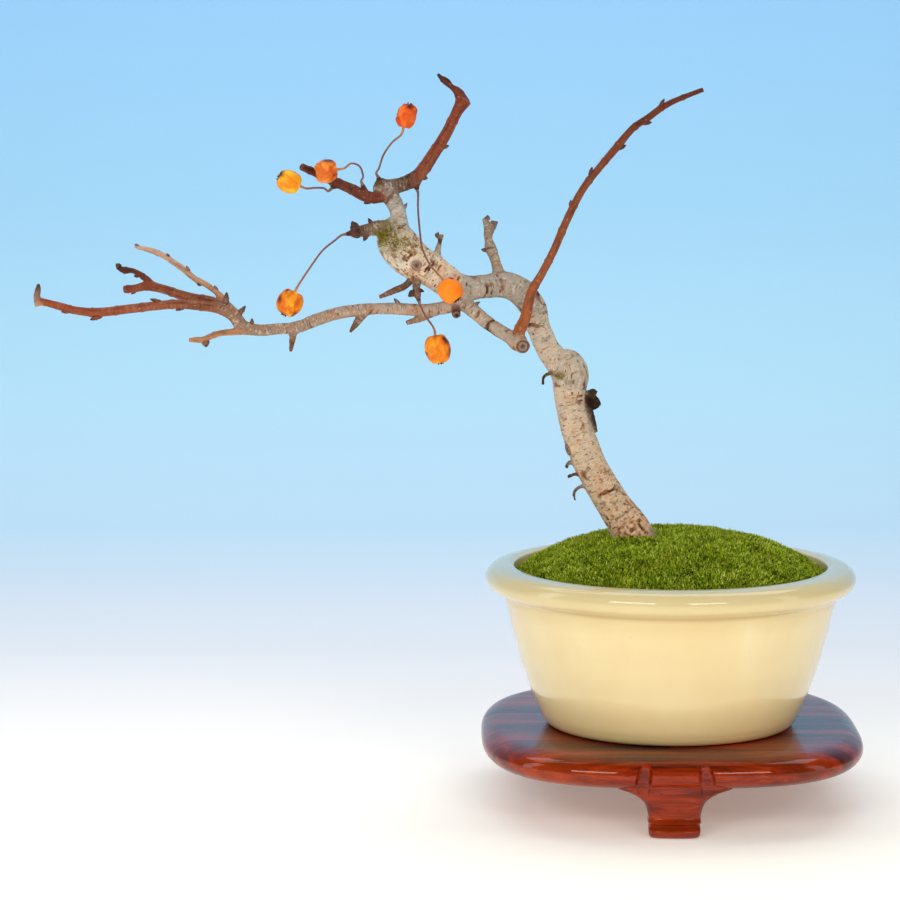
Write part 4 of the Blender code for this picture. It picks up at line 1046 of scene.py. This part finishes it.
# Buds
# Blunt winter buds in overlapping scales, pressed close to the twigs or standing off the spurs.
# Each is turned from a stepped outline, flattened a little, and leans towards its limb's tip.
BUDS = [  # limb, share of its length, angle round it from the front, length, width, lean
    ("trunk", 0.95, 90, 2.4, 2.0, 1.0), ("crown_right", 0.47, 270, 2.0, 2.3, 1.0),
    ("crown_right", 0.1, 270, 1.4, 2.6, 0.6), ("crown_left", 0.45, 0, 1.2, 2.0, 1.0),
    ("crown_left", 0.2, 250, 1.8, 2.6, 1.0), ("left_bough", 0.27, 90, 2.6, 2.2, 0.9),
    ("left_bough", 0.85, 90, 2.0, 2.2, 0.2), ("left_bough", 0.93, 90, 3.6, 2.6, 0.2),
    ("left_bough", 0.99, 80, 4.4, 3.0, 0.6), ("twig_long", 0.25, 270, 2.6, 2.4, 2.0),
    ("twig_long", 0.36, 90, 4.0, 2.2, 2.2), ("twig_long", 0.66, 270, 4.2, 3.0, 2.4),
    ("twig_long", 0.83, 250, 2.6, 2.2, 2.4), ("twig_middle", 0.9, 270, 1.6, 1.8, 1.5),
    ("twig_middle_side", 0.45, 270, 1.6, 1.8, 1.5), ("twig_top", 0.2, 90, 2.0, 1.6, 2.4),
    ("twig_top", 0.35, 270, 1.6, 2.0, 2.0), ("twig_top", 0.5, 90, 2.4, 1.8, 2.4),
    ("twig_top", 0.7, 90, 1.8, 1.6, 2.4), ("twig_low", 0.12, 90, 2.0, 1.6, 0.4),
    ("twig_low", 0.72, 270, 2.2, 3.4, 0.2), ("bud_arm", 0.97, 90, 2.8, 3.8, 0.3),
    ("bud_arm", 0.98, 60, 2.4, 3.8, 1.2), ("bud_arm", 0.92, 200, 2.4, 3.4, 0.4),
    ("bud_arm", 0.75, 270, 2.6, 2.6, 0.8), ("bud_arm", 0.62, 90, 2.0, 2.2, 0.3),
    ("bud_arm", 0.97, 0, 2.2, 3.6, 0.6), ("long_shoot", 0.45, 90, 2.2, 1.9, 2.2),
    ("long_shoot", 0.56, 90, 3.0, 2.0, 2.0), ("long_shoot", 0.68, 270, 2.6, 2.2, 2.0),
    ("long_shoot", 0.79, 270, 2.8, 2.2, 2.0), ("long_shoot", 0.86, 90, 3.0, 2.0, 1.8),
    ("long_shoot", 0.93, 200, 2.0, 1.8, 2.0), ("spur_right", 0.55, 270, 1.8, 2.2, 0.4),
    ("spur_down", 0.85, 270, 2.6, 3.2, 0.5), ("spur_down", 0.8, 90, 1.8, 1.8, 0.5),
    ("strut", 0.2, 90, 2.0, 1.8, 0.5), ("twig_top", 0.97, 90, 1.8, 1.5, 5.0),
    ("trunk", 0.985, 120, 3.0, 2.4, 0.2), ("spur_mid", 0.97, 90, 1.0, 2.8, 0.2),
    ("spur_right", 0.97, 90, 1.4, 2.6, 2.0), ("twig_middle_side", 0.95, 90, 1.8, 2.6, 3.0),
]
BUD_ROWS = 17
BUD_COLUMNS = 14
SCALE_ROWS = 4


def bud_frame(limb, share, angle, lean):
    """Where a bud starts, its directions out, across and over, and its limb's diameter there."""
    target = share * limb.lengths[-1]
    place = np.array([np.interp(target, limb.lengths, limb.route[:, k]) for k in range(4)])
    ahead = limb.ahead[np.searchsorted(limb.lengths, target).clip(0, len(limb.ahead) - 1)]
    front = np.array((0.0, -1.0, 0.0))
    side = front - ahead * front.dot(ahead)
    side /= np.linalg.norm(side)
    up = np.cross(ahead, side)
    up = -up if up[2] < 0 else up
    turn = math.radians(angle)
    outward = side * math.cos(turn) + up * math.sin(turn)
    forward = outward + ahead * lean
    forward /= np.linalg.norm(forward)
    across = np.cross(forward, ahead)
    across /= np.linalg.norm(across)
    return place[:3] + outward * place[3] * 0.3, forward, across, np.cross(across, forward), place[3]


def bud_solid(limb, share, angle, length, width, lean):
    """A stepped, blunt bud. Its scales overlap like tiles, each ring of them turned a little."""
    root, forward, across, over, girth = bud_frame(limb, share, angle, lean)
    around = circle(BUD_COLUMNS)
    rings = []
    for t in np.linspace(0, 1, BUD_ROWS):
        scale, step = divmod(t * SCALE_ROWS, 1.0)
        body = max(1 - t**3.2, 0.0) ** 0.8 * (0.84 + 0.16 * math.sin(math.pi * min(t * 1.5, 1)))
        radius = width / 2 * max(body, 0.08) * (1.06 - 0.12 * step)
        radius = (radius * (1 + 0.1 * np.cos(3 * around + scale * 2.1)))[:, None]
        turned = np.cos(around)[:, None] * across * 1.05 + np.sin(around)[:, None] * over * 0.9
        rings.append(root + forward * (girth * 0.2 + length) * t + radius * turned)
    return np.vstack(rings), capped_faces(BUD_ROWS, BUD_COLUMNS)


def make_buds():
    """Buds take the colour of the limb that carries them, darker towards the tip."""
    material, place = new_material("bud_scales", roughness=0.6, specular_ior_level=0.3)
    colour = mix(0.5, attribute(material, "bark_colour", "Color"), "#7A5040")
    colour = mix(span(noise(place, 0.8, 3.0, 0.6), 0.4, 0.66), colour, "#6A4A40", "MULTIPLY")
    colour = mix(span(attribute(material, "bud_tip"), 0.45, 1.0, 0.0, 0.65), colour, "#2A1812")
    shade(material, colour, noise(place, 0.35), 0.1, 0.6)
    solids = [bud_solid(limbs[name], *facts) for name, *facts in BUDS]
    buds = mesh_object("winter_buds", *join_solids(solids), material, 60)
    colours = [[*limbs[name].colours[int(share > 0.5)], 1.0] for name, share, *_ in BUDS]
    store(buds, "bud_tip", np.tile(np.repeat(np.linspace(0, 1, BUD_ROWS), BUD_COLUMNS), len(BUDS)))
    store(buds, "bark_colour", np.repeat(colours, BUD_ROWS * BUD_COLUMNS, axis=0))
    dress(buds, "crabapple_bark", "tree")


make_buds()


# Moss tuft on the burr
# A scrap of dry yellow-green moss caught where the crown leaves the burr, and a pinch of it at the
# trunk's bend, as short blades scattered on the bark round three spots.
TUFT_BLADES = 3400
TUFT_SPOTS = [(-115.0, -5.0, 232.0), (-109.5, -8.5, 228.5), (-46.0, -1.5, 174.8)]
TUFT_SPREAD = [(2.8, 1.6, 2.8), (3.0, 1.0, 2.2), (1.8, 0.6, 0.8)]
TUFT_SHARES = (0.55, 0.33, 0.12)


def make_tuft():
    material, place = new_material("dry_moss", roughness=0.9, specular_ior_level=0.2)
    shade(material, ramp(noise(place, 1.2), [
        (0.3, "#6A4A1E"), (0.45, "#8E7A1C"), (0.6, "#A89E2A"), (0.75, "#D8CC78"),
    ]))
    chance = np.random.default_rng(7)
    shape = (TUFT_BLADES, 3)
    chosen = chance.choice(3, TUFT_BLADES, p=TUFT_SHARES)
    points = np.array(TUFT_SPOTS)[chosen] + chance.normal(0, 1, shape) * np.array(TUFT_SPREAD)[chosen]
    all_limbs = list(limbs.values())
    points = move_onto_bark(all_limbs, points, FAR)
    direction = survey(all_limbs, points)[1]
    tall = chance.uniform(0.5, 1.3, (TUFT_BLADES, 1))
    ahead = direction + chance.normal(0, 0.6, shape)
    across = np.cross(ahead, chance.normal(0, 1, shape))
    across *= 0.12 / np.linalg.norm(across, axis=1)[:, None]
    blade = np.stack([points - across, points + across, points + ahead * tall * 0.6], axis=1)
    faces = np.arange(TUFT_BLADES * 3).reshape(-1, 3).tolist()
    dress(mesh_object("dry_moss_tuft", blade.reshape(-1, 3), faces, material), "moss", "tree")


make_tuft()


# Crabapples
# Dried fruits with a taut, wrinkled orange skin. Each is turned about the line from its stalk to
# its calyx, then pleated and creased by formula, stained, and closed by five dry sepals.
FRUITS = [  # middle, direction of the calyx, diameter, length, wrinkles in mm, light and dark
    # colour, and blotches as a direction from the middle and a width in degrees
    ((-107.0, 0.0, 279.0), (0.28, 0.0, 0.96), 8.8, 11.2, 0.5, "#FF7C26", "#DC4610", [
        (0.3, -0.5, 0.8, 40), (-0.7, -0.6, -0.1, 20)]),
    ((-138.5, -19.0, 258.0), (-0.95, -0.1, -0.15), 9.9, 10.2, 0.35, "#FF9A34", "#C4561A", [
        (0.2, -0.35, 0.92, 46), (-0.9, -0.5, -0.2, 28), (0.6, -0.7, -0.3, 16)]),
    ((-153.5, -12.0, 253.5), (-0.85, -0.1, 0.35), 9.7, 10.4, 0.16, "#FFC424", "#F68E12", [
        (-0.66, -0.45, 0.62, 34)]),
    ((-153.5, -15.0, 205.5), (-0.45, -0.1, -0.9), 10.8, 11.6, 0.3, "#FFB01C", "#EA640C", [
        (-0.8, -0.5, 0.36, 36), (-0.1, -0.35, 0.93, 30), (0.3, -0.4, -0.85, 28), (-0.6, -0.3, -0.8, 26)]),
    ((-89.5, -16.5, 210.5), (0.6, -0.25, -0.8), 9.9, 10.6, 0.05, "#FF8C14", "#F87810", [
        (0.1, -0.2, 0.98, 14)]),
    ((-94.5, -14.0, 187.0), (0.2, -0.1, -1.0), 10.6, 12.8, 0.2, "#FFAA1E", "#EA6A0C", [
        (0.64, -0.36, 0.66, 34), (0.92, -0.3, -0.2, 30), (-0.2, -0.3, 0.93, 28), (-0.9, -0.3, -0.3, 18)]),
]
DIMPLE_DEPTH = 1.7
CALYX_DEPTH = 0.9
SEPALS = 5


def skin_material(number, light, dark):
    material, place = new_material(
        f"crabapple_skin_{number}", roughness=0.42, specular_ior_level=0.22, subsurface_weight=0.2,
        subsurface_scale=1.2 * MM,
    )
    colour = mix(span(noise(place, 5.0, 3.0, 0.55), 0.38, 0.66), light, dark)
    colour = mix(span(attribute(material, "crease"), 0.1, 0.9, 0.0, 0.6), colour, "#B83A08")
    edge = calculate("ADD", attribute(material, "calyx"), multiply(noise(place, 1.4), 0.5))
    colour = mix(span(edge, 0.62, 0.76), colour, "#2A120A")
    blotch = attribute(material, "blotch")
    colour = mix(span(blotch, 0.1, 0.5, 0.0, 0.55), colour, "#B03A0C")
    colour = mix(span(blotch, 0.45, 0.8, 0.0, 0.9), colour, "#3E180C")
    colour = mix(span(noise(place, 0.6, 2.0), 0.66, 0.74, 0.0, 0.5), colour, "#8A3C10")
    shade(material, colour, noise(place, 0.8, 3.0), 0.08, 0.6)
    return material


def sepal(half, turn):
    """One dry sepal: a small curled pointed scale at the calyx end."""
    outward = np.array((math.cos(turn), math.sin(turn), 0.0))
    across = np.array((-math.sin(turn), math.cos(turn), 0.0))
    top = np.array((0.0, 0.0, 1.0))
    thick = top * 0.12 - outward * 0.1
    steps = 7
    rows = []
    for t in np.linspace(0, 1, steps):
        rise = half - CALYX_DEPTH + 1.3 * t - 0.3 * t * t
        middle = outward * (0.7 + 1.2 * t - 0.8 * t * t) + top * rise
        side = across * (0.62 * (1 - t) ** 0.8 + 0.03)
        rows.append([middle - side, middle + thick, middle + side, middle - thick])
    return np.array(rows).reshape(-1, 3), capped_faces(steps, 4)


def fruit_body(number, diameter, length, wrinkle):
    """Points and faces of a fruit along Z, with how creased and how near the calyx each point is."""
    rows, columns = 60, 96
    half, radius = length / 2, diameter / 2
    polar = np.linspace(-np.pi / 2, np.pi / 2, rows)[:, None]
    turn = circle(columns)[None]
    height = half * np.sin(polar) + 0 * turn
    reach = radius * np.cos(polar) ** 0.8 + 0 * turn
    reach[0] = reach[-1] = 0.02
    stalk_end = np.exp(-(((np.pi / 2 + polar) / 0.34) ** 2))
    calyx_end = np.exp(-(((np.pi / 2 - polar) / 0.26) ** 2))
    height = height + DIMPLE_DEPTH * stalk_end - CALYX_DEPTH * calyx_end
    ball = np.stack([reach * np.cos(turn), reach * np.sin(turn), height], axis=-1).reshape(-1, 3)
    out = ball / np.maximum(np.linalg.norm(ball, axis=1), 1e-6)[:, None]
    pleats = np.abs(np.sin(2.5 * turn + number)) ** 0.7 * (0.25 + 0.75 * np.abs(np.sin(polar)) ** 3)
    folds = 1 - 2.4 * np.abs(fractal(ball * np.array((1.0, 1.0, 0.6)), 3.2, 3, number))
    folds = np.clip(folds, 0, 1)
    swell = 0.05 * radius * fractal(ball, 6.0, 2, 50 + number)
    inward = wrinkle * folds**2 - swell + (0.3 * wrinkle + 0.05) * (1 - pleats.ravel())
    crease = np.clip(folds * wrinkle / 0.3, 0, 1)
    calyx = (calyx_end + 0 * turn).ravel() ** 0.5
    return ball - out * inward[:, None], grid_faces(rows, columns), crease, calyx


def make_fruit(number, middle, axis, diameter, length, wrinkle, light, dark, blotches):
    ball, faces, crease, calyx = fruit_body(number, diameter, length, wrinkle)
    sepals = [sepal(length / 2, 2 * np.pi * k / SEPALS + number) for k in range(SEPALS)]
    points, faces = join_solids([(ball, faces), *sepals])
    extra = len(points) - len(ball)
    points = points @ np.array(Vector(axis).normalized().to_track_quat("Z", "Y").to_matrix()).T
    facing = points / np.linalg.norm(points, axis=1)[:, None]
    stained = np.zeros(len(points))
    for *aim, width in blotches:
        away = np.degrees(np.arccos(np.clip(facing @ np.array(Vector(aim).normalized()), -1, 1)))
        away = away + 16 * fractal(points, 2.2, 3, 80 + number)
        stained = np.maximum(stained, np.clip(1 - away / width, 0, 1))
    material = skin_material(number, light, dark)
    fruit = mesh_object(f"crabapple_{number}_skin", points + np.array(middle), faces, material)
    store(fruit, "crease", np.pad(crease, (0, extra)))
    store(fruit, "calyx", np.pad(calyx, (0, extra), constant_values=1.0))
    store(fruit, "blotch", stained)
    dress(fruit, "crabapple_skin", f"crabapple_{number}")


for number, facts in enumerate(FRUITS, start=1):
    make_fruit(number, *facts)


# Stalks
# Thin dried stalks that run from each fruit spur to the dimple of its fruit, swollen where they
# leave the spur and where they enter the fruit. Dark purple-brown, tan towards the fruit.
STALK_ROUTES = [
    [(-118, 0, 258.5), (-116.3, 0, 263.5), (-112.8, 0, 268.6)],
    [(-124.2, -10.8, 255.6), (-125.4, -14.6, 259.6), (-128.6, -17.6, 261)],
    [(-140, -11.5, 250.9), (-144, -12, 251)],
    [(-135.5, -9, 230), (-140.5, -12, 226), (-146, -14, 218.5)],
    [(-102.4, -2, 241.5), (-101.5, -8, 232), (-100.5, -12.5, 226.5), (-97.5, -15, 220.5)],
    [(-99.4, -13.4, 200)],
]
STALK_DIAMETER = 0.9
STALK_SIDES = 14
GAP = 0.3


def stalk_material():
    material, place = new_material("dried_stalk", roughness=0.55)
    ripe = attribute(material, "towards_fruit")
    colour = ramp(ripe, [(0.0, "#80645A"), (0.45, "#7A463A"), (0.75, "#985A3E"), (1.0, "#C8965C")])
    colour = mix(span(noise(place, 1.0), 0.45, 0.7, 0.0, 0.4), colour, "#3A1E18")
    shade(material, colour, noise(place, 0.4), 0.06)
    return material


def make_stalks():
    material = stalk_material()
    for number, (route, fruit) in enumerate(zip(STALK_ROUTES, FRUITS), start=1):
        middle, axis, _, length = fruit[:4]
        before, tip = [Vector(place[:3]) for place in LIMBS[f"fruit_spur_{number}"][3][-2:]]
        outward = (tip - before).normalized()
        start = tip + outward * GAP
        inward = Vector(axis).normalized()
        mouth = Vector(middle) - inward * (length / 2)
        end = mouth + inward * (DIMPLE_DEPTH - GAP)
        points = [(*start, STALK_DIAMETER * 1.5), (*(start + outward * 2.0), STALK_DIAMETER)]
        points += [(*place, STALK_DIAMETER * 0.9) for place in route]
        points += [(*(mouth - inward * 2.0), STALK_DIAMETER), (*end, STALK_DIAMETER * 1.3)]
        line = smooth_route(points, 14)
        line[:, 3] *= 1 + 0.08 * fractal(line[:, :3], 2.0, 2, number)
        stalk = mesh_object(f"stalk_{number}_skin", *tube(line, STALK_SIDES), material)
        store(stalk, "towards_fruit", np.repeat(np.linspace(0, 1, len(line)), STALK_SIDES))
        dress(stalk, "dried_stalk", f"stalk_{number}")


make_stalks()
